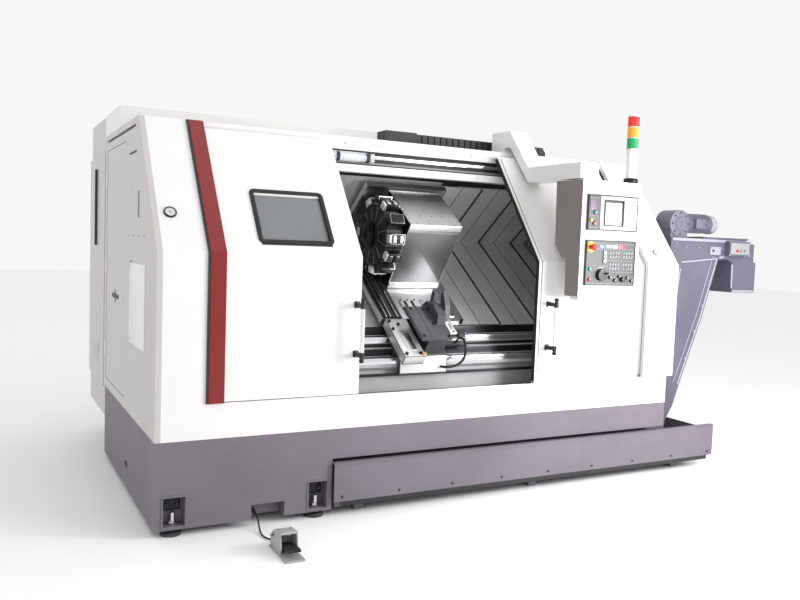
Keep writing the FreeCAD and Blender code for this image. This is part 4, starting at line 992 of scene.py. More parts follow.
cover_plate = finish("column_patch", (0.14, 0.10, 0.13), 0.5, grain_scale=500, bump=0.05)
screen_pale = finish("screen_pale", (0.62, 0.66, 0.64), 0.22, grain_scale=700, bump=0.05,
                     wander=0.10)
soft_keys = [tile(x - 0.0085, x + 0.0085, 1.6845, 1.7015, 0.003, 0.0035, 0.006)
             for x in np.linspace(2.672, 2.824, 7)]
block_keys = [tile(x - 0.0095, x + 0.0095, z - 0.0095, z + 0.0095, 0.0025, 0.0035)
              for x in (2.850, 2.874, 2.898, 2.922) for z in np.linspace(1.745, 1.855, 5)]
low_keys = [tile(x - 0.0095, x + 0.0095, z - 0.0085, z + 0.0085, 0.0028, 0.0035)
            for x, z in ((2.850, 1.720), (2.874, 1.698), (2.898, 1.720), (2.922, 1.698))]
pale_keys = [tile(x - 0.0095, x + 0.0095, z - 0.0085, z + 0.0085, 0.0028, 0.0035)
             for x, z in ((2.850, 1.698), (2.874, 1.720), (2.898, 1.698), (2.922, 1.720))]
screen_rows = [tile(2.684, 2.684 + length, z, z + 0.0035, 0.0004, 0.0049, 0.001)
               for z, length in ((1.842, 0.05), (1.832, 0.09), (1.806, 0.07), (1.796, 0.10),
                                 (1.770, 0.06), (1.742, 0.11))]
make("control_unit_face", "pendant",
     [(border(PANEL_LEFT, PANEL_RIGHT, 1.675, 1.897, 0.008, 0.006), black_plastic),
      (tile(2.634, 2.934, 1.683, 1.889, 0.0035), unit_grey),
      (join_pieces([border(2.664, 2.824, 1.705, 1.868, 0.0075, 0.006, 0.0035),
                    tile(2.806, 2.820, 1.708, 1.864, 0.0018, 0.0035),
                    tile(2.668, 2.820, 1.850, 1.864, 0.0018, 0.0035)]), black_plastic),
      (tile(2.671, 2.806, 1.712, 1.850, 0.0014, 0.0035), screen_pale),
      (join_pieces(screen_rows), unit_grey), (join_pieces(soft_keys), key_white),
      (border(2.834, 2.934, 1.687, 1.872, 0.002, 0.001, 0.0035), key_grey),
      (join_pieces(block_keys), key_white), (join_pieces(pale_keys), key_white),
      (join_pieces(low_keys), key_grey)])
PUSH_SPOTS = (on_face(2.594, 1.785), on_face(2.590, 1.718))
push = turned([(0.0105, 0), (0.0105, 0.006), (0.009, 0.010), (0, 0.0105)], 24, (0, 1))
bezel = turned([(0.010, 0), (0.0145, 0), (0.0145, 0.0025), (0.013, 0.0035), (0.010, 0.0035),
                (0.010, 0)], 28)
column_parts = [
    (join_pieces([tile(2.548, 2.622, z, z + 0.0025, 0.0012) for z in (1.874, 1.762, 1.690)]),
     key_grey),
    (tile(2.552, 2.600, 1.800, 1.862, 0.002), cover_plate),
    (set_at(push, PUSH_SPOTS[0], AXIS_X, FRONT), key_teal),
    (set_at(push, PUSH_SPOTS[1], AXIS_X, FRONT), key_red),
    (many(bezel, PUSH_SPOTS, FRONT), dark_iron),
    (set_at(turned([(0.012, 0), (0.012, 0.008), (0.010, 0.010), (0, 0.010)], 6),
            on_face(2.563, 1.738), AXIS_X, FRONT), cable_yellow)]
make("control_column", "pendant", column_parts)
print("control unit has", len(soft_keys) + len(block_keys) + len(low_keys), "keys")

# %% [markdown]
# The slanted keys are one plate turned 28 degrees and repeated on a grid. The dial's scale is
# a thin arc, and each rotary switch is a short cylinder with a white pointer.

# %% Pendant lower panel
SLANT = math.radians(28)
KEY_PITCH, KEY_RISE = 0.0225, 0.026


def slanted_keys(x0, z0, chosen):
    """Narrow keys leaning to the right: the chosen ones of a grid of four columns and two
    rows, counted along each row from the lower left."""
    axis = (math.sin(SLANT), 0, math.cos(SLANT))
    spots = [on_face(x0 + i % 4 * KEY_PITCH, z0 + i // 4 * KEY_RISE) for i in chosen]
    return many(plate(0.019, 0.0085, 0.0028, 0.002, 0.0007), spots, FRONT, axis)


WHEEL_X, WHEEL_Z = 2.662, 1.400
KEY_GROUPS = ((2.736, 1.513), (2.846, 1.513), (2.736, 1.440), (2.846, 1.440))
TEAL = {1: [4], 3: [0, 2]}
RED = {3: [1]}
plain_keys, teal_keys, red_keys = [], [], []
for number, (x0, z0) in enumerate(KEY_GROUPS):
    teal = TEAL.get(number, [])
    red = RED.get(number, [])
    rest = [i for i in range(8) if i not in teal + red]
    for keys, chosen in ((plain_keys, rest), (teal_keys, teal), (red_keys, red)):
        if chosen:
            keys.append(slanted_keys(x0, z0, chosen))
lines = [tile(2.716, 2.934, z, z + 0.002, 0.001) for z in (1.4885, 1.4175)]
lines += [tile(2.828, 2.830, 1.419, 1.560, 0.001), tile(2.712, 2.714, 1.345, 1.560, 0.001),
          tile(2.600, 2.712, 1.4555, 1.4575, 0.001), tile(2.600, 2.934, 1.5605, 1.5625, 0.001),
          tile(2.600, 2.934, 1.5925, 1.5945, 0.001), tile(2.548, 2.934, 1.342, 1.345, 0.001)]
lines += [tile(2.598, 2.600, 1.345, 1.530, 0.001)]
windows = [(tile(2.646, 2.690, 1.567, 1.588, 0.002), key_blue),
           (tile(2.694, 2.750, 1.567, 1.588, 0.002), key_grey),
           (tile(2.754, 2.790, 1.568, 1.587, 0.0022), key_white),
           (tile(2.798, 2.850, 1.567, 1.588, 0.002), key_red)]
ring = turned([(0.013, 0), (0.034, 0), (0.034, 0.001), (0.032, 0.0025), (0.013, 0.0025),
               (0.013, 0)], 40)
lamp_cap = turned([(0.012, 0), (0.012, 0.007), (0.009, 0.010), (0, 0.011)], 24, (0, 1))
scale_arc = pipe([on_face(WHEEL_X + 0.047 * math.cos(a), WHEEL_Z + 0.047 * math.sin(a), 0.0006)
                  for a in np.linspace(math.radians(60), math.radians(235), 22)], 0.0014, 8)
scale_marks = [set_at(plate(0.006, 0.0022, 0.0012, 0.001, 0.0004),
                      on_face(WHEEL_X + 0.0445 * math.cos(a), WHEEL_Z + 0.0445 * math.sin(a)),
                      (math.cos(a), 0, math.sin(a)), FRONT)
               for a in np.linspace(math.radians(60), math.radians(235), 9)]
switch_body = turned([(0.011, 0), (0.011, 0.010), (0.009, 0.012), (0, 0.012)], 24, (0, 1))
switch_spots = [(2.738, 1.385), (2.778, 1.368), (2.812, 1.392), (2.880, 1.384), (2.916, 1.366)]
pointers = [set_at(plate(0.012, 0.003, 0.0012, 0.001, 0.0004), on_face(x, z, 0.0118),
                   (math.cos(turn), 0, math.sin(turn)), FRONT)
            for (x, z), turn in zip(switch_spots, (2.2, 0.8, 2.4, 1.2, 2.0))]
ticks = [set_at(plate(0.006, 0.002, 0.001, 0.001, 0.0004),
                on_face(x + 0.017 * math.cos(a), z + 0.017 * math.sin(a)),
                (math.cos(a), 0, math.sin(a)), FRONT)
         for x, z in switch_spots + [(2.840, 1.374)] for a in (0.5, 1.57, 2.64)]
make("key_panel_face", "pendant",
     [(border(PANEL_LEFT, PANEL_RIGHT, 1.332, 1.617, 0.006, 0.004), black_plastic),
      (join_pieces(lines), key_grey), (join_pieces(plain_keys), key_grey),
      (join_pieces(teal_keys), key_teal), (join_pieces(red_keys), key_red)] + windows +
     [(set_at(ring, on_face(2.574, 1.572), AXIS_X, FRONT), key_yellow),
      (set_at(push, on_face(2.686, 1.513), AXIS_X, FRONT), key_white),
      (many(washer(0.0125, 0.0165, 0.0015, 28), [on_face(2.686, z) for z in (1.539, 1.487)],
            FRONT), dark_iron),
      (set_at(lamp_cap, on_face(2.572, 1.435), AXIS_X, FRONT), key_teal),
      (set_at(lamp_cap, on_face(2.572, 1.370), AXIS_X, FRONT), key_red),
      (join_pieces([scale_arc] + scale_marks + pointers + ticks), key_white),
      (many(switch_body, [on_face(x, z) for x, z in switch_spots], FRONT), black_plastic)])
wheel_mark = set_at(plate(0.010, 0.003, 0.001, 0.001, 0.0004), at(WHEEL_X - 0.012, -0.2555, 1.428),
                    (-0.3, 0, 1), FRONT)
crank = set_at(turned([(0.006, 0), (0.006, 0.016), (0.008, 0.020), (0.005, 0.026), (0, 0.0265)],
                      20, (0,)), at(WHEEL_X + 0.020, -0.2550, WHEEL_Z + 0.010), AXIS_X, FRONT)
make("handwheel_crank", "handwheel", [(crank, black_plastic), (wheel_mark, key_white)])
print("key panel laid out,", 8 * len(KEY_GROUPS), "slanted keys")

# %% [markdown]
# The cabinet itself gets a darker left side, which is painted shade on its white sheet, and seams
# and screws; its swivel has a clamp ring, and the arm's end has a screwed cover. The side is the
# cabinet's own profile pushed along X by about a millimetre, so it lies flat on the sheet behind
# it.

# %% Pendant cabinet and arm
# Painted shade: the white cabinet's left side, darkened where the key lamp does not reach.
painted_shade_pendant_side = finish("painted_shade_pendant_side", (0.22, 0.20, 0.19), 0.5, bump=0.12, bump_depth=0.0006,
                      grain_scale=900, wander=0.06)
side_sheet = [(-0.213, 1.262), (-0.213, 1.983), (0.041, 1.983), (0.029, 1.578), (-0.041, 1.491),
              (-0.082, 1.487), (-0.086, 1.262)]
side_skin = prism_x([(y + CORNER[1], z) for y, z in side_sheet[::-1]], at(2.4988, 0, 0)[0],
                    at(2.5000, 0, 0)[0])
seam_low = [tile(2.502, 2.978, z, z + 0.0025, 0.0015, -0.012) for z in (1.283, 1.640, 1.928)]
screw_spots = [at(x, -0.215, z) for x in (2.512, 2.968) for z in (1.272, 1.628, 1.652, 1.916,
                                                                 1.972)]
make("pendant_trim", "pendant",
     [(side_skin, painted_shade_pendant_side), (join_pieces(seam_low), strip_grey),
      (many(pan_screw(0.0045, 0.002), screw_spots, FRONT), ground_steel),
      (set_at(turned([(0.046, 0), (0.056, 0), (0.056, 0.003), (0.053, 0.0055), (0.046, 0.0055),
                      (0.046, 0)], 48), at(2.572, -0.110, 1.9855)), black_oxide),
      (set_at(plate(0.150, 0.070, 0.004, 0.004, 0.001), at(2.620, -0.1875, 1.243),
              AXIS_X, (0, 0, -1)), pendant_grey)])
arm_low, arm_high = machine_box("overhead_arm")
end_face = at((arm_low[0] + arm_high[0]) / 2, -0.1835, 2.042)
tilt = (0, -0.99915, 0.0408)
make("arm_end_cover", "machine",
     [(set_at(frame_part(0.137, 0.088, 0.012, 0.003, 0.006), end_face, AXIS_X, tilt), white),
      (many(pan_screw(0.0045, 0.002),
            [end_face + np.array((sx * 0.060, 0.0, sz * 0.036)) for sx in (-1, 1)
             for sz in (-1, 1)], tilt), ground_steel),
      (join_pieces([set_at(plate(0.004, 0.60, 0.001, 0.001, 0.0004),
                           at(2.505, 0.00, 2.0905), AXIS_X, (0, 0, 1))]), strip_grey)])
print("pendant cabinet and arm trimmed")

# %% [markdown]
# ## Signal tower
#
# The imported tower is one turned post. A sleeve of tinted lens goes round each lamp band, with
# pale rings between and a dark clamp band at the foot. Each is a turned ring, open inside.

# %% Signal tower
TOWER_X, TOWER_Y = 2.942, -0.150
POST_RADIUS = 0.0352


def lens_sleeve(low, high):
    """A ribbed sleeve: the radius rises and falls by half a millimetre every 8 mm."""
    rows = [(POST_RADIUS, low)]
    for z in np.arange(low, high, 0.004):
        rows.append((0.0366 + 0.0005 * math.cos(math.pi * (z - low) / 0.004), z + 0.001))
    rows += [(POST_RADIUS, high), (POST_RADIUS, low)]
    return set_at(turned(rows, 40), at(TOWER_X, TOWER_Y, 0))


tower_rings = [set_at(washer(POST_RADIUS, 0.0375, 0.004, 40), at(TOWER_X, TOWER_Y, z))
               for z in (2.205, 2.2745, 2.3445)]
tower_cap = set_at(washer(POST_RADIUS, 0.0372, 0.003, 40), at(TOWER_X, TOWER_Y, 2.4125))
clamp_band = set_at(turned([(0.0412, 0), (0.0450, 0.004), (0.0465, 0.016), (0.0450, 0.030),
                            (0.0412, 0.034), (0.0412, 0)], 40), at(TOWER_X, TOWER_Y, 1.9862))
make("tower_lenses", "pendant",
     [(lens_sleeve(2.2095, 2.2735), lens_green), (lens_sleeve(2.2795, 2.3435), lens_amber),
      (lens_sleeve(2.3495, 2.4120), lens_red), (join_pieces(tower_rings + [tower_cap]),
                                                 key_white)])
make("tower_clamp", "pendant",
     [(clamp_band, black_oxide),
      (set_at(cap_screw(0.006, 0.008), at(TOWER_X + 0.045, TOWER_Y, 2.002), (0, 1, 0),
              AXIS_X), ground_steel)])
print("signal tower has three lenses")

# %% [markdown]
# ## Chip conveyor
#
# Folded flanges stiffen the casing's edges, rails run up the incline, and the chute carries
# two pale flanges, a control box cover and three buttons. Each rail is one bar laid between
# two places on the casing's side.

# %% Conveyor flanges and rails
conveyor_light = finish("conveyor_light", (0.30, 0.29, 0.35), 0.38, bump=0.12,
                        bump_depth=0.0005, grain_scale=700, wander=0.08)
CONVEYOR_FRONT = 0.150
incline = np.array([(3.622, 0.585), (3.738, 1.440)])
rise_low = np.array((3.808, 0.580))
rise_mid = np.array((4.005, 1.080))
rise_top = np.array((4.143, 1.514))


def side_bar(start, end, width, thickness, y=CONVEYOR_FRONT):
    """A flat bar on the conveyor's side between two (x, z) places."""
    start, end = np.asarray(start, float), np.asarray(end, float)
    along = end - start
    length = np.linalg.norm(along)
    middle = (start + end) / 2
    return set_at(plate(length, width, thickness, 0.003, 0.001), at(middle[0], y, middle[1]),
                  (along[0] / length, 0, along[1] / length), FRONT)


shift = np.array((-0.020, 0.008))
rails = [side_bar(rise_low + shift, rise_mid + shift, 0.012, 0.006),
         side_bar(rise_mid + shift, rise_top + shift, 0.012, 0.006),
         side_bar(rise_low + 3 * shift, rise_mid + 3 * shift, 0.006, 0.004),
         side_bar(rise_mid + 3 * shift, rise_top + 3 * shift, 0.006, 0.004),
         side_bar(incline[0] + (0.012, 0), incline[1] + (0.012, 0), 0.012, 0.006)]
head_bars = [side_bar((3.662, 1.655), (4.430, 1.655), 0.020, 0.004),
             side_bar((3.760, 1.488), (4.130, 1.522), 0.010, 0.004),
             side_bar((4.150, 1.530), (4.200, 1.536), 0.014, 0.004)]
belt_bolts = [at(x, CONVEYOR_FRONT, z) for x, z in
              [(3.700, 1.625), (3.800, 1.600), (3.930, 1.600), (4.060, 1.600), (4.170, 1.600),
               (3.850, 0.780), (3.930, 0.980), (4.000, 1.170), (4.062, 1.360)]]
take_up = [set_at(plate(0.110, 0.060, 0.005, 0.004), at(4.105, CONVEYOR_FRONT, 1.580),
                  AXIS_X, FRONT)]
make("conveyor_flanges", "machine",
     [(join_pieces(rails + head_bars + take_up), conveyor_light),
      (many(cap_screw(0.008, 0.006), belt_bolts, FRONT), ground_steel),
      (set_at(pan_screw(0.012, 0.006), at(4.080, CONVEYOR_FRONT - 0.005, 1.580), AXIS_X,
              FRONT), dark_iron)])
chute_front = CONVEYOR_FRONT + 0.018
box_front = CONVEYOR_FRONT - 0.046
button_front = CONVEYOR_FRONT - 0.048
chute_parts = [(side_bar((4.330, 1.278), (4.572, 1.278), 0.014, 0.004, chute_front),
                conveyor_light),
               (side_bar((4.322, 1.300), (4.316, 1.480), 0.014, 0.004, chute_front),
                conveyor_light),
               (set_at(plate(0.330, 0.200, 0.002, 0.004), at(4.580, 0.340, 1.385), (0, 1, 0),
                       AXIS_X), conveyor_light),
               (set_at(plate(0.200, 0.085, 0.002, 0.004), at(4.319, box_front, 1.601),
                       AXIS_X, FRONT),
                strip_grey),
               (many(pan_screw(0.005, 0.0025),
                     [at(x, box_front, z) for x in (4.213, 4.425)
                      for z in (1.554, 1.648)], FRONT), ground_steel),
               (many(push, [at(4.330, button_front, 1.585),
                            at(4.370, button_front, 1.585)], FRONT), key_grey),
               (set_at(push, at(4.285, button_front, 1.585), AXIS_X, FRONT),
                key_red)]
make("chute_fittings", "machine", chute_parts)
print("conveyor casing trimmed")

# %% [markdown]
# The hinged belt lies in the tank, and is a row of plates with a round hinge between each
# pair. The motor has cooling ribs, a cowl with a ringed fan grille, and a terminal box, and
# the gear case a turned cover with a ring of bolts. The ribs are one fin turned about the
# motor's axis.

# %% Conveyor belt and motor
conveyor_dark = finish("conveyor_dark", (0.055, 0.05, 0.06), 0.55, 0.4, bump=0.15,
                       grain_scale=300, wander=0.15)
belt_y = CONVEYOR_FRONT + 0.190
slats, hinges = [], []
for x in np.arange(1.10, 3.42, 0.0635):
    slats.append(set_at(plate(0.058, 0.352, 0.003, 0.003, 0.001), at(x, belt_y, 0.192)))
    hinges.append(set_at(turned([(0, 0), (0.006, 0), (0.006, 0.352), (0, 0.352)], 10),
                         at(x + 0.0318, belt_y - 0.176, 0.192), AXIS_X, (0, 1, 0)))
make("conveyor_belt", "machine", [(join_pieces(slats), conveyor_dark),
                                  (join_pieces(hinges), dark_iron)])
MOTOR_Y, MOTOR_Z = 0.245, 1.773
GEAR_X, GEAR_Z = 3.745, 1.768
fins = []
for angle in np.linspace(-150, 150, 21):
    turn = math.radians(angle)
    out = (0, math.sin(turn), math.cos(turn))
    fins.append(set_at(plate(0.235, 0.0035, 0.011, 0.001, 0.0008),
                       at(3.965, MOTOR_Y + 0.0655 * out[1], MOTOR_Z + 0.0655 * out[2]),
                       AXIS_X, out))
cowl = set_at(turned([(0.0602, 0), (0.070, 0), (0.070, 0.048), (0.064, 0.060), (0.0602, 0.0605),
                      (0.0602, 0)], 8), at(4.0955, MOTOR_Y, MOTOR_Z), (0, 1, 0), AXIS_X)
grille = [set_at(frame_part(2 * r, 2 * r, 0.004, 0.002, r - 0.0005, 0.0008),
                 at(4.157, MOTOR_Y, MOTOR_Z), (0, 1, 0), AXIS_X) for r in (0.050, 0.034, 0.018)]
terminal = set_at(plate(0.090, 0.070, 0.030, 0.006, 0.003), at(3.940, MOTOR_Y - 0.064, MOTOR_Z),
                  AXIS_X, FRONT)
gear_cover = set_at(turned([(0.0, 0), (0.098, 0), (0.098, 0.006), (0.090, 0.010), (0.050, 0.010),
                            (0.046, 0.016), (0.020, 0.016), (0.016, 0.012), (0, 0.012)], 48,
                           (1, 3)), at(GEAR_X, MOTOR_Y - 0.070, GEAR_Z), AXIS_X, FRONT)
gear_bolts = [at(GEAR_X + 0.078 * math.cos(a), MOTOR_Y - 0.080, GEAR_Z + 0.078 * math.sin(a))
              for a in np.linspace(0, 2 * math.pi, 9)[:-1]]
make("drive_fittings", "machine",
     [(join_pieces(fins), motor_violet), (cowl, conveyor_light), (join_pieces(grille), dark_iron),
      (terminal, motor_violet), (gear_cover, motor_violet),
      (many(cap_screw(0.006, 0.005), gear_bolts, FRONT), dark_iron),
      (many(cap_screw(0.005, 0.004), [at(x, MOTOR_Y - 0.094, z) for x in (3.903, 3.977)
                                      for z in (1.746, 1.800)], FRONT), ground_steel),
      (join_pieces([set_at(plate(0.430, 0.012, 0.0015, 0.003, 0.0006),
                           at(4.200, CONVEYOR_FRONT - 0.010, 1.6805), AXIS_X)]), key_white)])
print("belt has", len(slats), "plates, motor has", len(fins), "ribs")

# %% [markdown]
# ## Work area: way covers
#
# The telescoping covers are bent in a V. Each one's right edge carries a black wiper lip that
# slides on the next sheet, with folded seams beside it. A lip is one V outline, drawn in
# the slope's own (u, w) axes and pushed along x; it rides the cover that it is fixed to.

# %% Wipers and seams
SLOPE_LENGTH, UPPER_LEG, UPPER_LEAN = 0.948, 0.608, math.radians(17.3)


def valley_line(depth, low=0.004, short=0.004):
    """The V at a depth below the top cover, as (u, w) rows from its foot to its upper end."""
    bend = (1 + math.sin(UPPER_LEAN)) / math.cos(UPPER_LEAN)
    leg = UPPER_LEG - short
    return [(low, -depth), (SLOPE_LENGTH + depth * bend, -depth),
            (SLOPE_LENGTH - leg * math.sin(UPPER_LEAN) + depth * math.cos(UPPER_LEAN),
             leg * math.cos(UPPER_LEAN) + depth * math.sin(UPPER_LEAN))]


def chevron(top, bottom, start, end):
    """A V-shaped strip between two depths, from one x to another."""
    outline = valley_line(bottom) + valley_line(top)[::-1]
    places = [on_slope(0, u, w) for u, w in outline]
    return prism_x([(p[1], p[2]) for p in places], at(start, 0, 0)[0], at(end, 0, 0)[0])


COVER_EDGES = ((2.350, "cover_1"), (2.660, "cover_2"), (2.970, "cover_3"))
for index, (edge, body) in enumerate(COVER_EDGES):
    level = 0.008 * index
    make(f"wiper_{index + 1}", body,
         [(chevron(level - 0.005, level + 0.0074, edge + 0.0002, edge + 0.0135), rubber),
          (chevron(level - 0.0022, level - 0.0002, edge - 0.022, edge - 0.0005), cover_steel),
          (chevron(level - 0.0009, level - 0.0001, edge - 0.156, edge - 0.151), dark_iron),
          (chevron(level - 0.0016, level - 0.0002, edge - 0.149, edge - 0.135), cover_steel)])
make("saddle_wiper", "saddle",
     [(chevron(-0.040, -0.0006, 2.0402, 2.0500), rubber),
      (chevron(-0.0475, -0.0455, 2.024, 2.0395), housing_steel)])
make("cover_frame_right", "machine",
     [(chevron(0.0190, 0.0238, 3.120, 3.126), dark_iron),
      (chevron(0.0190, 0.0238, 3.150, 3.154), dark_iron)])
print(len(COVER_EDGES) + 1, "wiper lips")

# %% [markdown]
# ## Turret
#
# The disc is black with pale radial lines, a dark hub and bright bolts. Bright clamp blocks
# stand in front of some of the tool holders. Each place is found from its radius and angle
# about the turret's axis, so twelve stations are one list and nothing is placed by eye.

# %% Turret disc and holders
band_bright = finish("band_bright", (0.84, 0.84, 0.84), 0.28, 0.6, (0.8, 20, 20), 30, 0.12,
                     0.0002, 0.05)
TURRET_U, TURRET_W = 0.514, 0.332
DISC_FACE = 1.4815


def around(x, radius, angle):
    """A place about the turret's axis; angle 0 points off the slope."""
    return on_slope(x, TURRET_U - radius * math.sin(angle), TURRET_W + radius * math.cos(angle))


def outward(angle):
    """The direction from the turret's axis at an angle."""
    return tuple(np.asarray(around(0, 1, angle)) - np.asarray(around(0, 0, angle)))


station = [2 * math.pi * i / 12 for i in range(12)]
radial_lines = [set_at(plate(0.092, 0.0028, 0.0012, 0.001, 0.0004),
                       around(DISC_FACE, 0.144, a + math.pi / 12), outward(a + math.pi / 12), LEFT)
                for a in station]
face_ring = set_at(turned([(0.093, 0), (0.100, 0), (0.100, 0.006), (0.096, 0.009), (0.093, 0.009),
                           (0.093, 0)], 48), around(DISC_FACE, 0, 0), (0, 1, 0), LEFT)
hub_cap = set_at(turned([(0, 0), (0.078, 0), (0.078, 0.010), (0.070, 0.016), (0.030, 0.018),
                         (0.026, 0.014), (0, 0.014)], 48, (1, 5)), around(1.4555, 0, 0),
                 (0, 1, 0), LEFT)
pockets = [set_at(frame_part(0.046, 0.040, 0.004, 0.003, 0.004, 0.001),
                  around(DISC_FACE, 0.168, a), outward(a), LEFT) for a in station]
face_bolts = [around(DISC_FACE, r, a + off) for a in station for r, off in
              ((0.118, 0.0), (0.188, 0.16), (0.188, -0.16))]
bright = [0, 2, 3, 5, 7, 8, 10]
HOLDER_FACE = 1.4935
clamp_blocks = [set_at(plate(0.046, 0.050, 0.012, 0.004, 0.0015),
                       around(HOLDER_FACE, 0.226, station[i]), outward(station[i]), LEFT)
                for i in bright]
dark_blocks = [set_at(plate(0.046, 0.054, 0.008, 0.004, 0.0015),
                      around(HOLDER_FACE, 0.226, station[i]), outward(station[i]), LEFT)
               for i in range(12) if i not in bright]
rim_bars = [set_at(plate(0.020, 0.046, 0.004, 0.003, 0.0012),
                   around(x, 0.2548, station[i]), AXIS_X, outward(station[i]))
            for i in bright for x in (1.512, 1.560)]
rim_dark = [set_at(plate(0.088, 0.058, 0.003, 0.004, 0.0012), around(1.5405, 0.252, a), AXIS_X,
                   outward(a)) for a in station]
holder_sides = [set_at(plate(0.086, 0.044, 0.0012, 0.003, 0.0005),
                       np.asarray(around(1.5405, 0.226, a)) +
                       0.031 * side * np.cross(AXIS_X, outward(a)), AXIS_X,
                       tuple(side * np.cross(AXIS_X, outward(a))))
                for a in station for side in (-1, 1)]
make("turret_details", "turret",
     [(join_pieces(radial_lines), casting_grey), (face_ring, dark_iron), (hub_cap, black_oxide),
      (join_pieces(pockets), dark_iron), (many(cap_screw(0.006, 0.005), face_bolts, LEFT),
                                          ground_steel),
      (join_pieces(clamp_blocks), band_bright), (join_pieces(rim_bars), ground_steel),
      (join_pieces(dark_blocks + rim_dark + holder_sides), black_oxide),
      (many(cap_screw(0.005, 0.004),
            [around(HOLDER_FACE - 0.012, 0.226 + d, station[i]) for i in bright
             for d in (-0.013, 0.013)], LEFT), dark_iron)])
print("turret details on", len(station), "stations")

# %% [markdown]
# The housing has a black left side, bright bands along its lower front edges, a darker steel sheet
# on its front face as painted shade, and rows of small screws. Beside it lie the saddle's rails
# and a slotted plate, short enough to stay clear of the housing when the cross slide comes
# forward. Its places are the slope's u and w.

# %% Turret housing and saddle
# Painted shade: the housing's brushed steel, darkened for its front face, which looks down and
# forward.
painted_shade_steel = finish("painted_shade_steel", (0.20, 0.20, 0.205), 0.34, 0.85, (0.8, 22, 22), 34, 0.2,
                     0.0003, 0.25, 1.6, 0.1)
SLOPE_OUT = (0, -math.sin(SLOPE), math.cos(SLOPE))
SLOPE_UP = (0, math.cos(SLOPE), math.sin(SLOPE))
SLOPE_DOWN = tuple(-np.asarray(SLOPE_UP))
FOOT_U, HEAD_U, UNDER_W, TOP_W = 0.330, 0.716, 0.046, 0.552
HOUSING_LEFT, HOUSING_RIGHT = 1.610, 1.990
housing_mid = (HOUSING_LEFT + HOUSING_RIGHT) / 2
band_top = set_at(plate(0.378, 0.040, 0.0022, 0.004, 0.0008),
                  on_slope(housing_mid, FOOT_U, TOP_W - 0.021), AXIS_X, SLOPE_DOWN)
band_low = set_at(plate(0.378, 0.034, 0.010, 0.004, 0.0015),
                  on_slope(housing_mid, FOOT_U, UNDER_W + 0.020), AXIS_X, SLOPE_DOWN)
# The front sheet is painted shade on the face that looks down and forward.
front_sheet = set_at(plate(0.372, 0.400, 0.0012, 0.004, 0.0005),
                     on_slope(housing_mid, FOOT_U, 0.290), AXIS_X, SLOPE_DOWN)
left_side = set_at(plate(TOP_W - UNDER_W - 0.006, HEAD_U - FOOT_U - 0.006, 0.0016, 0.006, 0.0006),
                   on_slope(HOUSING_LEFT, (FOOT_U + HEAD_U) / 2, (UNDER_W + TOP_W) / 2),
                   SLOPE_OUT, LEFT)
edge_screws = [on_slope(x, u, TOP_W) for x in (1.622, 1.978) for u in np.linspace(0.345, 0.700, 9)]
edge_screws += [on_slope(x, 0.345, TOP_W) for x in np.linspace(1.665, 1.935, 4)]
side_screws = [on_slope(1.6084, u, w) for u in (0.345, 0.700) for w in np.linspace(0.07, 0.53, 7)]
top_marks = [on_slope(x, u, TOP_W) for x in (1.72, 1.80, 1.88) for u in (0.43, 0.62)]
make("housing_details", "cross_slide",
     [(join_pieces([band_top, band_low]), band_bright), (left_side, black_oxide),
      (front_sheet, painted_shade_steel),
      (many(pan_screw(0.0045, 0.002), edge_screws + top_marks, SLOPE_OUT), dark_iron),
      (many(pan_screw(0.0045, 0.002), side_screws, LEFT), ground_steel)])


def slope_plate(x0, x1, u0, u1, w, thickness, radius=0.004, edge=0.001):
    """A plate lying parallel to the slope."""
    return set_at(plate(x1 - x0, u1 - u0, thickness, radius, edge),
                  on_slope((x0 + x1) / 2, (u0 + u1) / 2, w), AXIS_X, SLOPE_OUT)


rail_parts = [(slope_plate(1.462, 1.596, 0.020, 0.700, 0.045, 0.004), black_oxide),
              (join_pieces([slope_plate(x, x + 0.007, 0.024, 0.696, 0.049, 0.006, 0.002)
                            for x in (1.482, 1.512, 1.560)]), guideway_steel),
              (join_pieces([slope_plate(x, x + 0.016, 0.024, 0.696, 0.049, 0.003, 0.002)
                            for x in (1.526, 1.574)]), dark_iron),
              (slope_plate(1.640, 1.760, 0.040, 0.200, 0.045, 0.008), band_bright),
              (join_pieces([slope_plate(1.664, 1.684, 0.060, 0.185, 0.053, 0.0012, 0.009),
                            slope_plate(1.716, 1.736, 0.060, 0.185, 0.053, 0.0012, 0.009)]),
               black_oxide),
              (slope_plate(1.790, 1.990, 0.026, 0.200, 0.045, 0.003), housing_steel),
              (many(cap_screw(0.006, 0.005),
                    [on_slope(x, u, 0.053) for x in (1.650, 1.700, 1.750)
                     for u in (0.052, 0.190)], SLOPE_OUT), dark_iron),
              (many(pan_screw(0.005, 0.0025),
                    [on_slope(x, u, 0.048) for x in (1.800, 1.980)
                     for u in (0.040, 0.115, 0.190)], SLOPE_OUT), dark_iron)]
make("saddle_rails", "saddle", rail_parts)
print("housing and saddle trimmed")

# %% [markdown]
# ## Bed ways, steady rest and tailstock
#
# Ground strips lie on the front ways, thinner than the gap under the feet that slide there. Black
# strips cover the faces between them, under the ways' edges, as painted shadow. Each strip is a
# plate a few tenths of a millimetre thick, laid level or on a face towards the operator.

# %% Bed ways
def level_strip(x0, x1, y0, y1, z, thickness):
    """A flat strip on a level face."""
    return set_at(plate(x1 - x0, y1 - y0, thickness, 0.002, 0.0003),
                  at((x0 + x1) / 2, (y0 + y1) / 2, z))


def face_strip(x0, x1, z0, z1, y, thickness):
    """A flat strip on a face towards the operator."""
    return set_at(plate(x1 - x0, z1 - z0, thickness, 0.002, 0.0003),
                  at((x0 + x1) / 2, y, (z0 + z1) / 2), AXIS_X, FRONT)


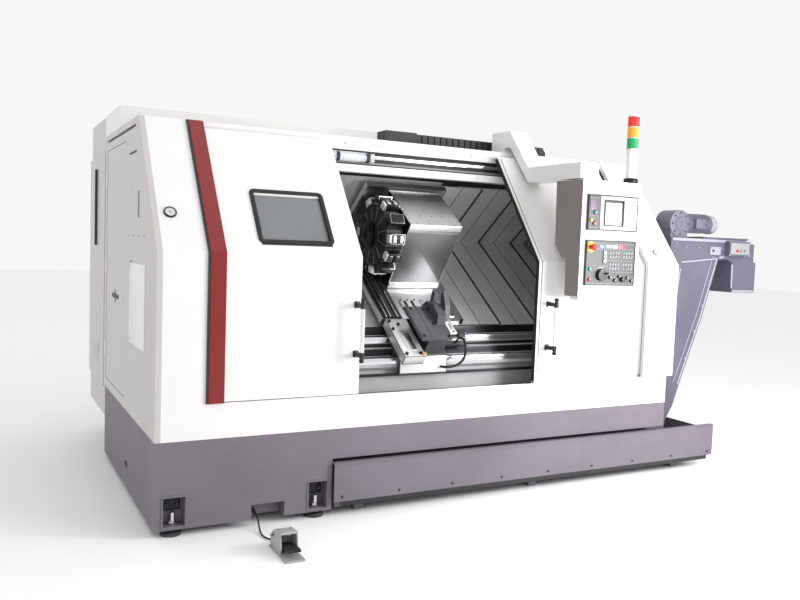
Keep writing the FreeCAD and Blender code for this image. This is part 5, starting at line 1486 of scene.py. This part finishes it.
WAY_START, WAY_END = 1.20, 3.28
way_strips = [level_strip(WAY_START, WAY_END, 0.198, 0.267, 0.857, 0.0006),
              level_strip(WAY_START, WAY_END, 0.303, 0.374, 0.972, 0.0006),
              face_strip(WAY_START, WAY_END, 0.822, 0.855, 0.195, 0.0006),
              face_strip(WAY_START, WAY_END, 0.936, 0.970, 0.300, 0.0006)]
# Painted shadow: black strips on the faces under the ways' edges.
way_shadow_strips = [face_strip(WAY_START, WAY_END, 0.861, 0.904, 0.270, 0.0005),
               face_strip(WAY_START, WAY_END, 0.910, 0.932, 0.300, 0.0006),
               face_strip(WAY_START, WAY_END, 0.748, 0.766, 0.195, 0.0005)]
make("way_strips", "machine", [(join_pieces(way_strips), guideway_steel),
                               (join_pieces(way_shadow_strips), black_oxide),
                               (face_strip(WAY_START, WAY_END - 0.01, 0.976, 1.026, 0.393,
                                           0.010), black_oxide)])
print(len(way_strips), "ground strips on the ways")

# %% [markdown]
# The steady rest has a pale clamp block with black bolts, a dark shield, a black cylinder and a
# bright slide bar. Their places are given as numbers, and thin skins on the imported body give
# each face its own finish, because one node can't wear two.

# %% Steady rest
block_pale = finish("block_pale", (0.66, 0.66, 0.65), 0.36, 0.5, bump=0.25, grain_scale=300,
                    wander=0.10)
shield_grey = finish("shield_grey", (0.070, 0.070, 0.078), 0.40, bump=0.4, grain_scale=220,
                     bump_depth=0.0006, wander=0.18)
black_gloss = finish("black_gloss", (0.010, 0.010, 0.012), 0.16, bump=0.1, grain_scale=400,
                     coat=0.3)
block_bolts = [on_slope(x, u, 0.0712) for x, u in ((1.470, -0.040), (1.520, -0.070),
                                                   (1.470, -0.110), (1.475, -0.330),
                                                   (1.570, -0.330))]
shield_bolts = [on_slope(x, u, 0.1572) for x, u in ((1.745, -0.020), (1.760, -0.115),
                                                    (1.700, -0.165), (1.590, -0.270),
                                                    (1.600, -0.020), (1.760, -0.280))]
sleeve = set_at(turned([(0.0565, 0), (0.059, 0.002), (0.059, 0.020), (0.0575, 0.022),
                        (0.0575, 0.120), (0.059, 0.122), (0.059, 0.158), (0.054, 0.162),
                        (0, 0.162)], 40, (1, 2, 5, 6)), at(1.7825, 0.228, 0.952), (0, 1, 0),
                AXIS_X)
shield_rib = [slope_plate(1.640, 1.700, -0.290, 0.000, 0.1570, 0.003, 0.006),
              slope_plate(1.572, 1.584, -0.290, 0.000, 0.1570, 0.004, 0.004)]
pivot = set_at(turned([(0, 0), (0.022, 0), (0.022, 0.010), (0.012, 0.012), (0.012, 0.020),
                       (0, 0.020)], 28, (1, 4)), on_slope(1.700, -0.020, 0.157), AXIS_X, SLOPE_OUT)
block_left = set_at(plate(0.052, 0.330, 0.0015, 0.004, 0.0006),
                    on_slope(1.455, -0.185, 0.040), SLOPE_OUT, LEFT)
block_end = set_at(plate(0.139, 0.052, 0.0015, 0.004, 0.0006), on_slope(1.5275, -0.355, 0.040),
                   AXIS_X, SLOPE_DOWN)
foot_front = set_at(plate(0.322, 0.100, 0.0015, 0.004, 0.0006), at(1.635, 0.160, 0.817),
                    AXIS_X, FRONT)
make("steady_fittings", "steady_rest",
     [(slope_plate(1.458, 1.597, -0.352, -0.018, 0.0700, 0.0015), block_pale),
      (join_pieces([block_left, block_end, foot_front]), block_pale),
      (slope_plate(1.500, 1.560, -0.300, -0.120, 0.0712, 0.003, 0.004), housing_steel),
      (many(hex_bolt(0.0125, 0.010), block_bolts,
            SLOPE_OUT), black_oxide),
      (slope_plate(1.5665, 1.7765, -0.294, 0.003, 0.1560, 0.0015), shield_grey),
      (join_pieces(shield_rib), shield_grey),
      (many(hex_bolt(0.011, 0.008), shield_bolts,
            SLOPE_OUT), black_oxide),
      (pivot, dark_iron), (sleeve, black_gloss),
      (slope_plate(1.822, 1.872, -0.205, 0.130, 0.100, 0.016, 0.006, 0.002), band_bright),
      (slope_plate(1.832, 1.862, -0.195, -0.165, 0.086, 0.0145, 0.006), dark_iron),
      (join_pieces([slope_plate(1.839, 1.855, u, u + 0.050, 0.1160, 0.0012, 0.007)
                    for u in (-0.170, -0.090, -0.010)]), strip_grey),
      (many(cap_screw(0.006, 0.005), [on_slope(1.847, u, 0.1165) for u in (-0.193, 0.115)],
            SLOPE_OUT), black_oxide),
      (set_at(cap_screw(0.012, 0.014), on_slope(1.590, -0.343, 0.0712), AXIS_X, SLOPE_OUT),
       cable_yellow)])
print("steady rest dressed")

# %% [markdown]
# The chuck's face shows two turned rings and six screws, and the tailstock a dark
# cover plate, clamping bolts and a collar round its quill. The chuck's details stand only
# a fraction of a millimetre proud, so they turn with it and touch nothing.

# %% Chuck and tailstock
SPINDLE_Y, SPINDLE_Z = 0.300, 1.371
CHUCK = at(1.120, SPINDLE_Y, SPINDLE_Z)


def chuck_place(radius, angle, x=0.0):
    """A place on the chuck's face, angle measured from straight up."""
    return CHUCK + np.array((x, radius * math.sin(angle), radius * math.cos(angle)))


chuck_rings = [set_at(washer(r - 0.0015, r + 0.0015, 0.0006, 48), CHUCK, (0, 1, 0), AXIS_X)
               for r in (0.058, 0.172)]
chuck_bolts = [chuck_place(0.120, math.radians(a)) for a in (30, 90, 150, 210, 270, 330)]
make("chuck_details", "spindle",
     [(join_pieces(chuck_rings), dark_iron),
      (many(cap_screw(0.009, 0.0003), chuck_bolts, AXIS_X, (0, 1, 0)), black_oxide)])
make("tailstock_details", "tailstock",
     [(face_strip(2.800, 3.110, 1.180, 1.400, 0.1605, 0.004), casting_dark),
      (many(cap_screw(0.006, 0.005), [at(x, 0.1565, z) for x in (2.815, 3.095)
                                      for z in (1.195, 1.385)], FRONT), ground_steel),
      (many(hex_bolt(0.0125, 0.010),
            [at(x, 0.160, z) for x in (2.81, 2.95, 3.09) for z in (0.80, 0.98)], FRONT),
       black_oxide),
      (set_at(turned([(0.0556, 0), (0.076, 0), (0.076, 0.008), (0.070, 0.012), (0.0556, 0.012),
                      (0.0556, 0)], 40), at(2.760, SPINDLE_Y, SPINDLE_Z), (0, 1, 0), LEFT),
       dark_iron)])
print("chuck and tailstock dressed")

# %% [markdown]
# ## Foot pedal and door handles
#
# The pedal's hood has a folded lip, four screws and a plug for its cable, and its treadle
# carries four rubber ribs, which tip with the treadle because they ride on it.

# %% Foot pedal
PEDAL_X, PEDAL_REAR = 0.565, -0.295
TREADLE_SLOPE, HOOD_SLOPE = 0.1342, 0.087
hood_up = (0, -0.087, 0.9962)
treadle_up = (0, 0.133, 0.9911)
ribs = [set_at(plate(0.060, 0.005, 0.002, 0.002, 0.0008),
               at(PEDAL_X, PEDAL_REAR - back, 0.036 + (back - 0.066) * TREADLE_SLOPE),
               AXIS_X, treadle_up) for back in (0.150, 0.168, 0.186, 0.204)]
make("treadle_ribs", "treadle", [(join_pieces(ribs), rubber)])
hood_bolts = [at(PEDAL_X + side, PEDAL_REAR - back, 0.108 + (back - 0.060) * HOOD_SLOPE)
              for side in (-0.030, 0.030) for back in (0.080, 0.138)]
make("pedal_fittings", "machine",
     [(many(pan_screw(0.005, 0.0025), hood_bolts, hood_up), dark_iron),
      (many(cap_screw(0.005, 0.004), [at(PEDAL_X + side, PEDAL_REAR - 0.190, 0.010)
                                      for side in (-0.042, 0.042)], (0, 0, 1)), ground_steel),
      (set_at(plate(0.088, 0.006, 0.004, 0.003, 0.0012), at(PEDAL_X, PEDAL_REAR - 0.148, 0.1157),
              AXIS_X, hood_up), pedal_grey),
      (set_at(turned([(0.0, 0), (0.011, 0), (0.011, 0.010), (0.008, 0.014), (0.0, 0.014)], 20,
                     (1, 2)), at(0.575, PEDAL_REAR, 0.030), AXIS_X, (0, 1, 0)),
       black_plastic)])
print("pedal dressed")

# %% [markdown]
# The door handles are black bars with a bright grip between the end posts and a black ring
# at each end of it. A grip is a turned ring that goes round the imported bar.

# %% Door handle grips
HANDLE_Y = -0.080
HANDLE_GRIPS = ((1.100, "left_door"), (2.447, "right_door"))
for x, body in HANDLE_GRIPS:
    grip = turned([(0.0121, 0), (0.0140, 0.001), (0.0140, 0.259), (0.0121, 0.260),
                   (0.0121, 0)], 28, (1, 2))
    rings = [set_at(turned([(0.0142, 0), (0.0155, 0.001), (0.0155, 0.005), (0.0142, 0.006),
                            (0.0142, 0)], 28), at(x, HANDLE_Y, z)) for z in (0.932, 1.182)]
    make(body + "_grip", body, [(set_at(grip, at(x, HANDLE_Y, 0.930)), band_bright),
                                (join_pieces(rings), black_plastic)])
print(len(HANDLE_GRIPS), "handle grips")

# %% [markdown]
# ## Close
#
# Last, the number of pieces made here and their triangles are printed.

# %% Pieces and triangles
print(len(made_triangles), "pieces made here,", sum(made_triangles.values()), "triangles")
